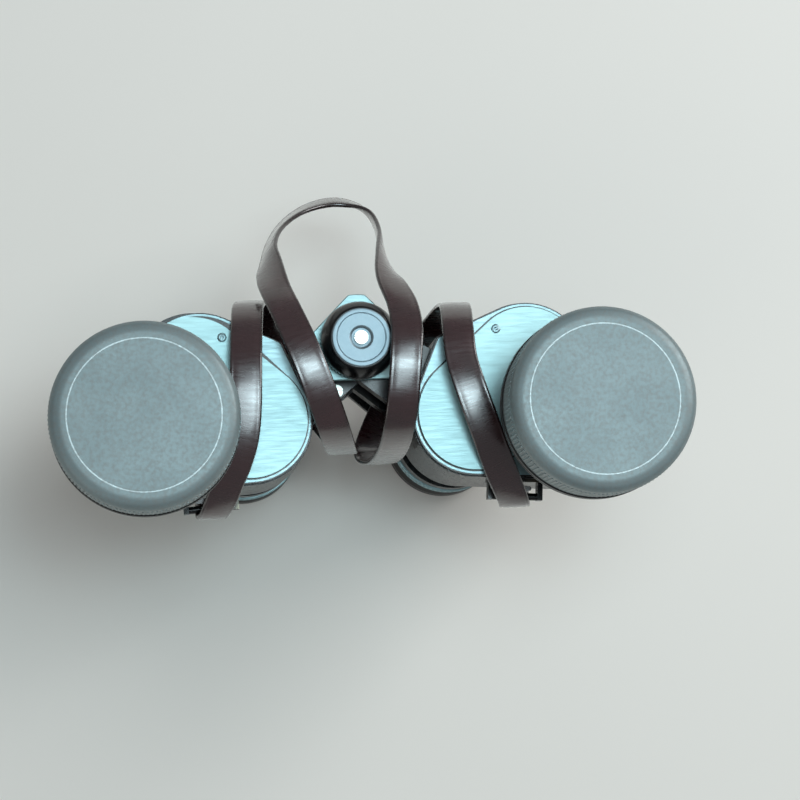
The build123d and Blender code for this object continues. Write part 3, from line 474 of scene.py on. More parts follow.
def turnedPiece(name, axis, points, finishes, roundness=0.25, segments=128, choose=None):
    # a lathe: the outline in millimetres goes once round the axis; choose picks a finish from radius and
    # height
    outline = roundedProfile(points, roundness)
    work = bmesh.new()
    rings = []
    for spot in outline:
        if spot.x < 1e-6:
            rings.append([work.verts.new(axis + Vector((0, 0, spot.y * mm)))])
            continue
        rings.append([
            work.verts.new(axis + Vector((math.cos(turn) * spot.x, math.sin(turn) * spot.x, spot.y)) * mm)
            for turn in [2 * math.pi * k / segments for k in range(segments)]])
    for index, ring in enumerate(rings):
        following = rings[(index + 1) % len(rings)]
        if len(ring) == 1 and len(following) == 1:
            continue
        for k in range(segments):
            after = (k + 1) % segments
            corners = [ring[k % len(ring)], following[k % len(following)],
                       following[after % len(following)], ring[after % len(ring)]]
            face = work.faces.new(list(dict.fromkeys(corners)))
            if choose:
                middle = (outline[index] + outline[(index + 1) % len(outline)]) / 2
                face.material_index = choose(middle.x, middle.y)
    bmesh.ops.recalc_face_normals(work, faces=work.faces)
    mesh = bpy.data.meshes.new(name)
    work.to_mesh(mesh)
    work.free()
    piece = bpy.data.objects.new(name, mesh)
    bpy.context.scene.collection.objects.link(piece)
    setFinish(piece, *finishes)
    return smoothShade(piece)


def refinedCopy(name, node, finishes, edge=0.25, choose=None, angle=32):
    # the CAD node's own shape, its flat faces joined up and its edges broken by a small bevel
    mesh = nodes[node].data.copy()
    work = bmesh.new()
    work.from_mesh(mesh)
    bmesh.ops.remove_doubles(work, verts=work.verts, dist=0.002 * mm)
    bmesh.ops.dissolve_limit(work, angle_limit=math.radians(0.6), verts=work.verts, edges=work.edges)
    bmesh.ops.recalc_face_normals(work, faces=work.faces)
    for face in work.faces:
        face.material_index = choose(face) if choose else 0
    work.to_mesh(mesh)
    work.free()
    piece = bpy.data.objects.new(name, mesh)
    bpy.context.scene.collection.objects.link(piece)
    setFinish(piece, *finishes)
    bevel = piece.modifiers.new("edges", "BEVEL")
    bevel.width = edge * mm
    bevel.segments = 2
    bevel.limit_method = "ANGLE"
    bevel.angle_limit = math.radians(angle)
    bevel.harden_normals = False
    settle(piece)
    return smoothShade(piece, 40)


def hullOutline(circles, grow, steps=72):
    # the outline round a set of (x, y, radius) circles, as points in millimetres
    spots = []
    for x, y, radius in circles:
        for k in range(steps):
            turn = 2 * math.pi * k / steps
            spots.append(Vector((x + math.cos(turn) * (radius + grow),
                                 y + math.sin(turn) * (radius + grow))))
    return [spots[k] for k in geometry.convex_hull_2d(spots)]


def prism(name, outline, low, high, finishes):
    count = len(outline)
    points = [(p.x * mm, p.y * mm, z * mm) for z in (low, high) for p in outline]
    faces = [tuple(range(count)), tuple(range(count, 2 * count))]
    faces += [(k, (k + 1) % count, count + (k + 1) % count, count + k) for k in range(count)]
    piece = meshPiece(name, points, faces, finishes)
    work = bmesh.new()
    work.from_mesh(piece.data)
    bmesh.ops.recalc_face_normals(work, faces=work.faces)
    work.to_mesh(piece.data)
    work.free()
    return piece


def cutAway(piece, *cutters):
    for cutter in cutters:
        cut = piece.modifiers.new("cut", "BOOLEAN")
        cut.operation = "DIFFERENCE"
        cut.solver = "EXACT"
        cut.object = cutter
    settle(piece)
    for cutter in cutters:
        bpy.data.objects.remove(cutter)
    return piece


def newTree(name, inputs):
    tree = bpy.data.node_groups.new(name, "GeometryNodeTree")
    tree.interface.new_socket("Geometry", in_out="OUTPUT", socket_type="NodeSocketGeometry")
    for label, kind, value in inputs:
        socket = tree.interface.new_socket(label, in_out="INPUT", socket_type=kind)
        if value is not None:
            socket.default_value = value
    return tree


def growPiece(name, tree, values):
    # runs a tree on an empty object and keeps the result as a plain mesh
    piece = bpy.data.objects.new(name, bpy.data.meshes.new(name))
    bpy.context.scene.collection.objects.link(piece)
    modifier = piece.modifiers.new("grow", "NODES")
    modifier.node_group = tree
    for item in tree.interface.items_tree:
        if item.item_type == "SOCKET" and item.in_out == "INPUT" and item.name in values:
            modifier[item.identifier] = values[item.name]
    return settle(piece)


# upright half-round ribs in a ring, as on a reeded grip
ribTree = newTree("reededRing", [
    ("Radius", "NodeSocketFloat", 0.02), ("Count", "NodeSocketInt", 60),
    ("Height", "NodeSocketFloat", 0.005),
    ("Rib radius", "NodeSocketFloat", 0.0004), ("Centre", "NodeSocketVector", (0, 0, 0)),
    ("Finish", "NodeSocketMaterial", None)])
ribIn = addNode(ribTree, "NodeGroupInput")
ribSpots = addNode(ribTree, "GeometryNodeMeshCircle", None,
                   {"Vertices": ribIn.outputs["Count"], "Radius": ribIn.outputs["Radius"]})
ribShape = addNode(ribTree, "GeometryNodeMeshCylinder", None,
                   {"Vertices": 10, "Radius": ribIn.outputs["Rib radius"],
                    "Depth": ribIn.outputs["Height"]})
ribRow = addNode(ribTree, "GeometryNodeInstanceOnPoints", None,
                 {"Points": ribSpots.outputs[0], "Instance": ribShape.outputs[0]})
ribPlaced = addNode(ribTree, "GeometryNodeTransform", None,
                    {"Geometry": ribRow.outputs[0], "Translation": ribIn.outputs["Centre"]})
ribReal = addNode(ribTree, "GeometryNodeRealizeInstances", None, {0: ribPlaced.outputs[0]})
ribDone = addNode(ribTree, "GeometryNodeSetMaterial", None,
                  {"Geometry": ribReal.outputs[0], "Material": ribIn.outputs["Finish"]})
addNode(ribTree, "NodeGroupOutput", None, {0: ribDone.outputs[0]})

# one screw on each vertex of a small marker mesh, each turned its own way
screwTree = newTree("screwSet", [
    ("Places", "NodeSocketObject", None), ("Screw", "NodeSocketObject", None),
    ("Tip", "NodeSocketVector", (0, 0, 0)),
    ("Seed", "NodeSocketInt", 4), ("Finish", "NodeSocketMaterial", None)])
screwIn = addNode(screwTree, "NodeGroupInput")
screwSpots = addNode(screwTree, "GeometryNodeObjectInfo", None, {0: screwIn.outputs["Places"]})
screwShape = addNode(screwTree, "GeometryNodeObjectInfo", None, {0: screwIn.outputs["Screw"]})
screwTurn = addNode(screwTree, "FunctionNodeRandomValue", {"data_type": "FLOAT"},
                    {2: 0.0, 3: math.pi, 8: screwIn.outputs["Seed"]})
screwSpin = addNode(screwTree, "ShaderNodeCombineXYZ", None, {2: screwTurn.outputs[1]})
screwFlip = addNode(screwTree, "GeometryNodeTransform", None,
                    {"Geometry": screwShape.outputs["Geometry"], "Rotation": screwIn.outputs["Tip"]})
screwRow = addNode(screwTree, "GeometryNodeInstanceOnPoints", None,
                   {"Points": screwSpots.outputs["Geometry"], "Instance": screwFlip.outputs[0],
                    "Rotation": screwSpin.outputs[0]})
screwReal = addNode(screwTree, "GeometryNodeRealizeInstances", None, {0: screwRow.outputs[0]})
screwDone = addNode(screwTree, "GeometryNodeSetMaterial", None,
                    {"Geometry": screwReal.outputs[0], "Material": screwIn.outputs["Finish"]})
addNode(screwTree, "NodeGroupOutput", None, {0: screwDone.outputs[0]})

# a screw thread: a coil of fine wire that stands out of the spindle
threadTree = newTree("spindleThread", [
    ("Radius", "NodeSocketFloat", 0.0024), ("Pitch", "NodeSocketFloat", 0.0008),
    ("Length", "NodeSocketFloat", 0.009),
    ("Wire", "NodeSocketFloat", 0.0003), ("Centre", "NodeSocketVector", (0, 0, 0)),
    ("Finish", "NodeSocketMaterial", None)])
threadIn = addNode(threadTree, "NodeGroupInput")
threadTurns = addNode(threadTree, "ShaderNodeMath", {"operation": "DIVIDE"},
                      {0: threadIn.outputs["Length"], 1: threadIn.outputs["Pitch"]})
threadCoil = addNode(threadTree, "GeometryNodeCurveSpiral", None,
                     {"Resolution": 32, "Rotations": threadTurns.outputs[0],
                      "Start Radius": threadIn.outputs["Radius"],
                      "End Radius": threadIn.outputs["Radius"], "Height": threadIn.outputs["Length"]})
threadWire = addNode(threadTree, "GeometryNodeCurvePrimitiveCircle", None,
                     {"Resolution": 6, "Radius": threadIn.outputs["Wire"]})
threadMesh = addNode(threadTree, "GeometryNodeCurveToMesh", None,
                     {"Curve": threadCoil.outputs[0], "Profile Curve": threadWire.outputs[0],
                      "Fill Caps": True})
threadPlaced = addNode(threadTree, "GeometryNodeTransform", None,
                       {"Geometry": threadMesh.outputs[0], "Translation": threadIn.outputs["Centre"]})
threadReal = addNode(threadTree, "GeometryNodeRealizeInstances", None, {0: threadPlaced.outputs[0]})
threadDone = addNode(threadTree, "GeometryNodeSetMaterial", None,
                     {"Geometry": threadReal.outputs[0], "Material": threadIn.outputs["Finish"]})
addNode(threadTree, "NodeGroupOutput", None, {0: threadDone.outputs[0]})


def reeding(name, body, slotName, axis, radius, low, high, count, ribRadius, finish):
    ribs = growPiece(name, ribTree, {
        "Radius": radius * mm, "Count": count, "Height": (high - low) * mm, "Rib radius": ribRadius * mm,
        "Centre": (axis.x, axis.y, (low + high) / 2 * mm), "Finish": finish})
    return mount(smoothShade(ribs, 50), body, slotName)


# ---- objective caps

capSettings = {"wall": 1.92, "top": 2.2, "lineRadius": 19.3, "lineWidth": 0.4, "lineDepth": 0.06,
               "ribCount": 132, "ribRadius": 0.4, "ribLow": 2.2, "ribHigh": 11.2}

for side in sides:
    axis, low, high, radius = nodeAxis(f"{side}_objective_cap")
    line, wide, deep = capSettings["lineRadius"], capSettings["lineWidth"] / 2, capSettings["lineDepth"]
    bore = radius - capSettings["wall"]
    cap = turnedPiece(f"{side}Cap", axis, [
        (0, high), (line - wide - 0.4, high, 0), (line - wide, high, 0),
        (line - wide + 0.06, high - deep, 0),
        (line + wide - 0.06, high - deep, 0), (line + wide, high, 0), (line + wide + 0.3, high, 0),
        (radius - 2.9, high - 0.02, 0.9), (radius - 1.1, high - 0.55, 0.9),
        (radius - 0.12, high - 1.9, 0.8), (radius, high - 3.2, 0.6),
        (radius, low + 1.6, 0.2), (radius - 0.25, low + 1.3, 0.1), (radius - 0.25, low + 1.0, 0.1),
        (radius, low + 0.7, 0.2),
        (radius, low, 0.3), (bore, low, 0.2), (bore, high - capSettings["top"], 0.6),
        (0, high - capSettings["top"])],
        # the engraved ring takes the pale enamel, a painted highlight along the line
        [enamel, highlightLineEnamel], choose=lambda r,
        h: 1 if abs(r - line) < wide + 0.02 and h > high - 1 else 0, segments=160)
    mount(cap, f"{side}_cap", "grey_cap", f"{side}_objective_cap")
    reeding(f"{side}CapReeding", f"{side}_cap", "grey_cap", axis, radius - 0.2,
            low + capSettings["ribLow"],
            low + capSettings["ribHigh"], capSettings["ribCount"], capSettings["ribRadius"], enamel)
print("caps turned")


# ---- objective barrels and what is in them

barrelSettings = {"bore": 20.6, "spigotBore": 12.3, "spigot": 13.5, "collar": 15.2, "tube": 22.0,
                  "ringLow": 24.0, "ringHeight": 3.4}

for side in sides:
    axis, low, high, widest = nodeAxis(f"{side}_objective_barrel")
    base = low - 0.5
    tube, ringLow = barrelSettings["tube"], base + barrelSettings["ringLow"]
    ringHigh = ringLow + barrelSettings["ringHeight"]

    def barrelFinish(radius, height):
        return 1 if height > high - 1.2 and radius > 20 else 0  # only the front rim is bare

    barrel = turnedPiece(f"{side}ObjectiveBarrel", axis, [
        (barrelSettings["spigot"], low), (barrelSettings["spigot"], base + 4.0),
        (barrelSettings["collar"], base + 4.0, 0.3),
        (barrelSettings["collar"] + 0.15, base + 6.0, 1.6), (tube, base + 18.0, 3.0),
        (tube, ringLow, 0.15),
        (widest, ringLow, 0.5), (widest, ringLow + 1.3, 0.15), (widest - 0.35, ringLow + 1.5, 0.1),
        (widest - 0.35, ringHigh - 1.5, 0.1),
        (widest, ringHigh - 1.3, 0.15), (widest, ringHigh, 0.5), (tube, ringHigh, 0.15),
        (tube, high, 0.35),
        (barrelSettings["bore"], high, 0.2), (barrelSettings["bore"], base + 18.5),
        (barrelSettings["spigotBore"], base + 5.5),
        (barrelSettings["spigotBore"], low)],
        [lacquer, rimPlate], choose=barrelFinish, segments=144)
    mount(barrel, f"{side}_half", "black_lacquer", f"{side}_objective_barrel")
    setFinish(nodes[f"{side}_objective_cell"], blackened)
    setFinish(nodes[f"{side}_objective_retainer"], blackened)
    setFinish(nodes[f"{side}_objective_lens"], lensGlass)
print("barrels turned")


# ---- prism housings, covers, hinge and strap lugs

housingSettings = {"corner": 16.8, "shoulder": (22.4, -0.8, 1.4), "coverRadius": 15.5, "collar": 15.2,
                   "seam": 0.42,
                   "wrapLow": 42.2, "wrapHigh": 77.6, "wrapThickness": 0.35, "rimHeight": 0.14,
                   "rimInset": 0.35}

screwHead = turnedPiece("screwHead", Vector(), [(0, 0), (1.25, 0, 0.05), (1.25, 0.14, 0.08),
                                                (0.85, 0.3, 0.2), (0, 0.34)], [rimPlate], segments=32)
slotCut = prism("slotCut", [Vector((-2, -0.16)), Vector((2, -0.16)), Vector((2, 0.16)),
                            Vector((-2, 0.16))], 0.16, 1.0, [rimPlate])
cutAway(screwHead, slotCut)

for side, sign in sides.items():
    eye, _, _, _ = nodeAxis(f"{side}_eyecup")
    front, _, _, _ = nodeAxis(f"{side}_objective_cap")
    eye, front = eye / mm, front / mm
    span = (front - eye) * sign
    inward = Vector((-span.y, span.x, 0)).normalized() * (span.length / 2)
    prismSpot = (eye + front) / 2 + Vector((inward.x * sign, inward.y, 0))
    corner, collar = housingSettings["corner"], housingSettings["collar"]
    shoulderX, shoulderY, shoulderRadius = housingSettings["shoulder"]
    circles = [(eye.x, eye.y, corner), (front.x, front.y, corner), (prismSpot.x, prismSpot.y, corner),
               (shoulderX * sign, shoulderY, shoulderRadius)]
    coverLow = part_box(f"{side}_front_cover")[0].z / mm

    def housingFinish(face):
        level = face.calc_center_median().z / mm
        return 1 if face.normal.z > 0.7 and level > coverLow + 1 else 0

    shell = refinedCopy(f"{side}Housing", f"{side}_housing", [lacquer, plate], edge=0.3,
                        choose=housingFinish)
    rim = prism(f"{side}HousingRim", hullOutline(circles, -housingSettings["rimInset"]), coverLow,
                coverLow + housingSettings["rimHeight"], [rimPlate])
    coverGap = prism("coverGap", hullOutline([(eye.x, eye.y, housingSettings["coverRadius"]),
                                              (prismSpot.x, prismSpot.y, housingSettings["coverRadius"])],
                                             housingSettings["seam"]), coverLow - 1, coverLow + 1,
                                             [rimPlate])
    collarGap = prism("collarGap", hullOutline([(front.x, front.y, collar)], 0.3), coverLow - 1,
                      coverLow + 1, [rimPlate])
    cutAway(rim, coverGap, collarGap)
    smoothShade(rim, 30)
    mount(shell, f"{side}_half", "black_lacquer", f"{side}_housing")
    mount(rim, f"{side}_half", "polished_nickel")

    wrap = prism(f"{side}SideLeather", hullOutline(circles, housingSettings["wrapThickness"]),
                 housingSettings["wrapLow"], housingSettings["wrapHigh"], [leatherette])
    core = prism("core", hullOutline(circles, -0.05), housingSettings["wrapLow"] - 1,
                 housingSettings["wrapHigh"] + 1, [leatherette])
    cutAway(wrap, core)
    bevel = wrap.modifiers.new("edges", "BEVEL")
    bevel.width, bevel.segments, bevel.angle_limit = 0.12 * mm, 2, math.radians(50)
    settle(wrap)
    mount(smoothShade(wrap, 40), f"{side}_half", "black_lacquer")

    cover = refinedCopy(f"{side}FrontCover", f"{side}_front_cover", [plate], edge=0.22)
    mount(cover, f"{side}_half", "polished_nickel", f"{side}_front_cover")
    back = refinedCopy(f"{side}RearCover", f"{side}_rear_cover", [plate], edge=0.22)
    mount(back, f"{side}_half", "polished_nickel", f"{side}_rear_cover")

    # the screws sit where the CAD ones do: their places are the centres of those six solids
    work = bmesh.new()
    work.from_mesh(nodes[f"{side}_cover_screws"].data)
    bmesh.ops.remove_doubles(work, verts=work.verts, dist=0.002 * mm)
    loose, places = set(work.verts), {"front": [], "rear": []}
    while loose:
        island, edgeOf = set(), [loose.pop()]
        while edgeOf:
            vert = edgeOf.pop()
            island.add(vert)
            for link in vert.link_edges:
                other = link.other_vert(vert)
                if other in loose:
                    loose.discard(other)
                    edgeOf.append(other)
        xs, ys, zs = ([v.co[k] for v in island] for k in range(3))
        spot = ((min(xs) + max(xs)) / 2, (min(ys) + max(ys)) / 2)
        if max(zs) / mm > 60:
            places["front"].append((*spot, (coverLow + 1.5) * mm))
        else:
            places["rear"].append((*spot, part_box(f"{side}_rear_cover")[0].z))
    work.free()
    for where, tip in (("front", (0, 0, 0)), ("rear", (math.pi, 0, 0))):
        # in a fixed order, because the seed turns each screw by its number in the list
        inOrder = sorted(places[where], key=lambda spot: (round(spot[0], 5), round(spot[1], 5)))
        marker = meshPiece("marker", inOrder, [], [])
        screws = growPiece(f"{side}{where.title()}CoverScrews", screwTree,
                           {"Places": marker, "Screw": screwHead, "Tip": tip, "Seed": 3 + sign,
                            "Finish": rimPlate})
        bpy.data.objects.remove(marker)
        mount(smoothShade(screws), f"{side}_half", "polished_nickel",
              *([f"{side}_cover_screws"] if where == "front" else []))

    lug = refinedCopy(f"{side}StrapLug", f"{side}_strap_lug", [lacquer], edge=0.2)
    mount(lug, f"{side}_half", "black_lacquer", f"{side}_strap_lug")
    for name in ("prism_front", "prism_rear"):
        setFinish(nodes[f"{side}_{name}"], prismGlass)
    for name in ("prism_clip_front", "prism_clip_rear"):
        setFinish(nodes[f"{side}_{name}"], springSteel)
bpy.data.objects.remove(screwHead)
print("housings covered")


# ---- eyepieces

eyepieceSettings = {"ribCount": 72, "ribRadius": 0.5, "cupThroat": 8.2, "cupFloor": 7.0, "ocular": 11.4,
                    "cupNeck": 14.6}

for side in sides:
    body = f"{side}_eyepiece"
    lensBody = "left_ocular" if side == "left" else "right_eyepiece"
    axis, low, high, radius = nodeAxis(f"{side}_eyepiece_guide")
    guide = turnedPiece(f"{side}EyepieceGuide", axis, [
        (11.6, low), (13.0, low, 0.3), (13.0, high - 1.6, 0.2), (radius, high - 1.6, 0.25),
        (radius, high), (11.6, high)],
        [rimPlate], segments=112)
    mount(guide, f"{side}_half", "polished_nickel", f"{side}_eyepiece_guide")

    axis, low, high, radius = nodeAxis(f"{side}_eyepiece_sleeve")
    sleeve = turnedPiece(f"{side}EyepieceSleeve", axis, [
        (11.45, low), (radius, low, 0.2), (radius, high - 1.5, 0.1), (radius - 0.18, high - 1.3, 0.1),
        (radius - 0.18, high - 0.9, 0.1),
        (radius, high - 0.7, 0.1), (radius, high, 0.35), (13.05, high, 0.2), (13.05, low + 2.0),
        (11.45, low + 2.0)],
        [lacquer, rimPlate], choose=lambda r, h: 1 if h > high - 0.8 else 0, segments=112)
    mount(sleeve, body, "black_lacquer", f"{side}_eyepiece_sleeve")

    ringNode = "left_dioptre_ring" if side == "left" else "right_grip_ring"
    ringBody = "dioptre_ring" if side == "left" else "right_eyepiece"
    axis, low, high, radius = nodeAxis(ringNode)
    bore = 14.35 if side == "left" else 14.3
    grip = turnedPiece(f"{side}GripRing", axis, [
        (bore, low, 0.15), (radius - 0.1, low, 0.3), (radius - 0.1, low + 0.7, 0.2),
        (radius - 0.55, low + 0.8, 0.1),
        (radius - 0.55, high - 0.8, 0.1), (radius, high - 0.7, 0.2), (radius, high, 0.35),
        (bore, high, 0.15)],
        [rimPlate], segments=128)
    mount(grip, ringBody, "polished_nickel", ringNode)
    reeding(f"{side}GripReeding", ringBody, "polished_nickel", axis, radius - 0.55, low + 0.75,
            high - 0.75,
            eyepieceSettings["ribCount"], eyepieceSettings["ribRadius"], rimPlate)

    axis, low, high, radius = nodeAxis(f"{side}_eyecup")
    throat, floorUp = eyepieceSettings["cupThroat"], low + eyepieceSettings["cupFloor"]
    ocular, neck = eyepieceSettings["ocular"], eyepieceSettings["cupNeck"]
    cup = turnedPiece(f"{side}Eyecup", axis, [
        (15.6, low, 0.35), (radius, low, 0.6), (radius, low + 2.0, 0.1), (radius - 0.2, low + 2.2, 0.1),
        (radius - 0.2, low + 2.6, 0.1), (radius, low + 2.8, 0.1),
        (radius, low + 4.6, 0.8), (15.2, low + 8.6, 1.5), (neck, high, 0.4), (ocular, high, 0.1),
        (ocular, floorUp + 1.0), (throat, floorUp + 1.0), (throat, floorUp, 0.3), (10.4, low + 5.9, 0.8),
        (13.4, low + 3.2, 1.2)],
        [phenolic], segments=128)
    mount(cup, lensBody, "black_plastic", f"{side}_eyecup")

    setFinish(nodes[f"{side}_ocular_barrel"], blackened)
    setFinish(nodes[f"{side}_eye_lens_ring"], blackened)
    setFinish(nodes[f"{side}_eye_lens"], lensGlass)
    setFinish(nodes[f"{side}_field_lens"], lensGlass)
    arm = refinedCopy(f"{side}BridgeArm", f"{side}_bridge_arm", [lacquer], edge=0.3)
    mount(arm, body, "black_lacquer", f"{side}_bridge_arm")
print("eyepieces turned")


# ---- hinge and focusing

hingePlate = refinedCopy("hingePlate", "hinge_plate", [plate], edge=0.3)
mount(hingePlate, "left_half", "polished_nickel", "hinge_plate")
axleNut = refinedCopy("axleNut", "axle_nut", [rimPlate], edge=0.3)
mount(axleNut, "left_half", "polished_nickel", "axle_nut")
lockScrew = refinedCopy("lockScrew", "lock_screw", [screwSteel], edge=0.12)
mount(lockScrew, "left_half", "steel_screws", "lock_screw")
bridgeNut = refinedCopy("bridgeNut", "bridge_nut", [rimPlate], edge=0.25)
mount(bridgeNut, "left_eyepiece", "polished_nickel", "bridge_nut")
setFinish(nodes["hinge_axle"], steel)
setFinish(nodes["focus_spindle"], steel)

threadSettings = {"radius": 2.32, "pitch": 0.8, "wire": 0.26, "low": 30.6, "high": 35.8}
thread = growPiece("spindleThread", threadTree, {
    "Radius": threadSettings["radius"] * mm, "Pitch": threadSettings["pitch"] * mm,
    "Length": (threadSettings["high"] - threadSettings["low"]) * mm, "Wire": threadSettings["wire"] * mm,
    "Centre": (0, 0, threadSettings["low"] * mm), "Finish": steel})
mount(smoothShade(thread, 50), "left_eyepiece", "steel")

wheelSettings = {"topRadius": 8.4, "discRadius": 7.5, "stem": 3.45, "ribCount": 64,
                 "ribRadius": 0.34}
axis, low, high, radius = nodeAxis("focus_wheel")
wheelBase = high - 9.4
bore = 2.45
wheel = turnedPiece("focusWheel", Vector(), [
    (bore, low, 0.1), (wheelSettings["stem"], low, 0.2), (wheelSettings["stem"], wheelBase, 0.1),
    (radius - 0.25, wheelBase, 0.3),
    (radius - 0.25, wheelBase + 0.5, 0.1), (radius - 0.35, wheelBase + 0.6, 0.05),
    (radius - 0.35, wheelBase + 4.3, 0.05), (radius - 0.1, wheelBase + 4.5, 0.15),
    (radius - 0.35, wheelBase + 5.9, 0.8), (radius - 1.0, wheelBase + 7.7, 1.2),
    (wheelSettings["topRadius"] + 0.15, high - 0.25, 0.4),
    (wheelSettings["topRadius"] - 0.25, high, 0.2), (wheelSettings["discRadius"], high, 0.12),
    (wheelSettings["discRadius"], high - 0.8, 0.05), (0, high - 0.8), (0, low + 20.6),
    (bore, low + 20.6)],
    [wheelLacquer], segments=128)
mount(wheel, "focus_wheel", "black_lacquer", "focus_wheel")
reeding("wheelReeding", "focus_wheel", "black_lacquer", Vector(), radius - 0.42, wheelBase + 0.55,
        wheelBase + 4.35,
        wheelSettings["ribCount"], wheelSettings["ribRadius"], wheelLacquer)

axis, low, high, radius = nodeAxis("wheel_disc")
disc = turnedPiece("wheelDisc", Vector(), [
    (1.2, low), (radius, low), (radius, high, 0.3), (6.75, high, 0.06), (6.62, high - 0.14, 0.04),
    (6.48, high, 0.06),
    (3.25, high, 0.1), (2.7, high - 0.35, 0.12), (2.7, low + 0.5, 0.1), (1.2, low + 0.5)], [aluminium],
    segments=128)
mount(disc, "focus_wheel", "silver_disc", "wheel_disc")
wheelScrew = refinedCopy("wheelScrew", "wheel_screw", [steel], edge=0.16)
mount(wheelScrew, "focus_wheel", "steel_screws", "wheel_screw")
print("hinge and wheel fitted")


# ---- strap

strapSettings = {"width": 8.6, "thickness": 1.3, "steps": 8, "crown": 0.1, "creaseIn": 0.95,
                 "creaseDepth": 0.14}

leftRoute = [
    ((-41.5, -41.5, 74.2), (0.0, 1.0, 0.1)), ((-41.5, -41.2, 71.2), (0.0, 1.0, -0.1)),
    ((-41.5, -42.1, 69.2), (0.0, 0.6, -0.8)), ((-41.5, -44.4, 69.0), (0.0, -0.5, -0.85)),
    ((-41.4, -45.6, 71.0), (0.0, -1.0, -0.1)), ((-40.6, -44.8, 75.0), (0.1, -0.9, 0.3)),
    ((-38.8, -41.6, 79.2), (0.0, -0.8, 0.6)), ((-36.9, -37.0, 83.0), (0.0, -0.5, 0.85)),
    ((-34.8, -32.4, 85.8), (0.0, -0.3, 0.95)), ((-32.8, -26.2, 87.6), (0.0, -0.15, 1.0)),
    ((-31.8, -18.8, 88.5), (0.0, 0.0, 1.0)), ((-31.4, -10.8, 88.6), (0.0, 0.1, 1.0)),
    ((-31.0, -2.8, 87.2), (0.0, 0.3, 0.95)), ((-30.4, 5.0, 82.6), (0.0, 0.7, 0.7)),
    ((-29.6, 10.8, 75.6), (0.0, 0.9, 0.4)), ((-28.0, 13.2, 66.0), (0.0, 1.0, 0.1)),
    ((-27.0, 13.2, 55.0), (0.0, 1.0, -0.15)), ((-24.6, 10.0, 44.6), (0.1, 0.8, -0.6)),
    ((-20.6, 3.4, 37.0), (0.2, 0.4, -0.9)), ((-15.4, -5.2, 35.2), (0.0, 0.05, -1.0)),
    ((-9.6, -14.2, 36.4), (0.0, -0.2, -1.0)), ((-4.8, -22.2, 41.2), (0.0, -0.7, -0.7)),
    ((-3.8, -27.0, 51.0), (0.0, -0.95, -0.3)), ((-4.6, -28.6, 63.0), (0.0, -1.0, 0.0)),
    ((-6.4, -27.4, 75.0), (0.0, -0.9, 0.4)), ((-8.2, -23.8, 83.0), (0.0, -0.6, 0.8)),
    ((-10.4, -18.0, 87.4), (0.0, -0.25, 0.97)), ((-12.7, -11.6, 89.3), (0.0, 0.0, 1.0)),
    ((-15.0, -5.0, 89.7), (0.0, 0.1, 1.0)), ((-17.5, 1.8, 88.2), (0.0, 0.3, 0.95)),
    ((-20.0, 8.8, 83.8), (-0.05, 0.5, 0.85)), ((-22.2, 15.6, 77.0), (-0.15, 0.6, 0.75))]
loopRoute = [
    ((-22.2, 15.6, 77.0), (-0.15, 0.6, 0.75)), ((-23.0, 21.6, 69.6), (-0.5, 0.5, 0.7)),
    ((-22.8, 27.6, 61.6), (-0.85, 0.2, 0.5)), ((-20.4, 34.0, 54.4), (-0.85, 0.4, 0.35)),
    ((-15.6, 39.8, 48.8), (-0.6, 0.75, 0.3)), ((-9.0, 43.8, 45.2), (-0.25, 0.9, 0.35)),
    ((-2.0, 45.2, 43.8), (0.05, 0.92, 0.38)), ((4.4, 43.4, 44.6), (0.5, 0.8, 0.3)),
    ((8.2, 38.4, 48.4), (0.95, 0.35, 0.1)), ((9.2, 31.4, 55.6), (1.0, 0.05, 0.1)),
    ((9.2, 24.2, 65.6), (0.85, 0.3, 0.45)), ((9.8, 16.8, 75.8), (0.3, 0.65, 0.7))]
rightRoute = [
    ((9.8, 16.8, 75.8), (0.3, 0.65, 0.7)), ((11.8, 9.2, 83.2), (0.1, 0.55, 0.85)),
    ((12.2, 1.8, 88.4), (0.0, 0.3, 0.95)), ((11.6, -5.2, 89.8), (0.0, 0.1, 1.0)),
    ((10.9, -12.0, 89.4), (0.0, -0.05, 1.0)), ((10.2, -18.4, 87.8), (0.0, -0.25, 0.97)),
    ((9.4, -24.2, 83.6), (0.0, -0.6, 0.8)), ((8.8, -28.0, 76.0), (0.0, -0.9, 0.4)),
    ((8.0, -30.4, 64.0), (0.0, -1.0, 0.0)), ((6.4, -30.8, 51.0), (0.0, -0.95, -0.3)),
    ((4.8, -26.8, 38.8), (0.0, -0.7, -0.7)), ((9.2, -16.6, 33.6), (0.0, -0.2, -1.0)),
    ((15.4, -6.0, 33.6), (0.0, 0.05, -1.0)), ((20.4, 2.4, 37.0), (-0.2, 0.4, -0.9)),
    ((24.2, 7.6, 45.0), (-0.1, 0.8, -0.6)), ((26.6, 10.4, 56.0), (0.0, 1.0, -0.1)),
    ((27.4, 10.8, 67.0), (0.0, 1.0, 0.15)), ((26.9, 8.2, 78.0), (0.0, 0.9, 0.45)),
    ((26.3, 1.6, 85.4), (0.0, 0.55, 0.85)), ((26.6, -6.8, 88.0), (0.0, 0.2, 1.0)),
    ((28.4, -14.4, 89.2), (0.0, 0.0, 1.0)), ((30.9, -22.4, 88.8), (0.0, -0.1, 1.0)),
    ((33.5, -29.8, 87.0), (0.0, -0.25, 0.97)), ((36.2, -36.4, 83.4), (0.0, -0.5, 0.85)),
    ((38.8, -41.6, 79.2), (0.0, -0.8, 0.6)), ((40.6, -44.8, 75.0), (-0.1, -0.9, 0.3)),
    ((41.4, -45.6, 71.0), (0.0, -1.0, -0.1)), ((41.5, -44.4, 69.0), (0.0, -0.5, -0.85)),
    ((41.5, -42.1, 69.2), (0.0, 0.6, -0.8)), ((41.5, -41.2, 71.2), (0.0, 1.0, -0.1)),
    ((41.5, -41.5, 74.2), (0.0, 1.0, 0.1))]


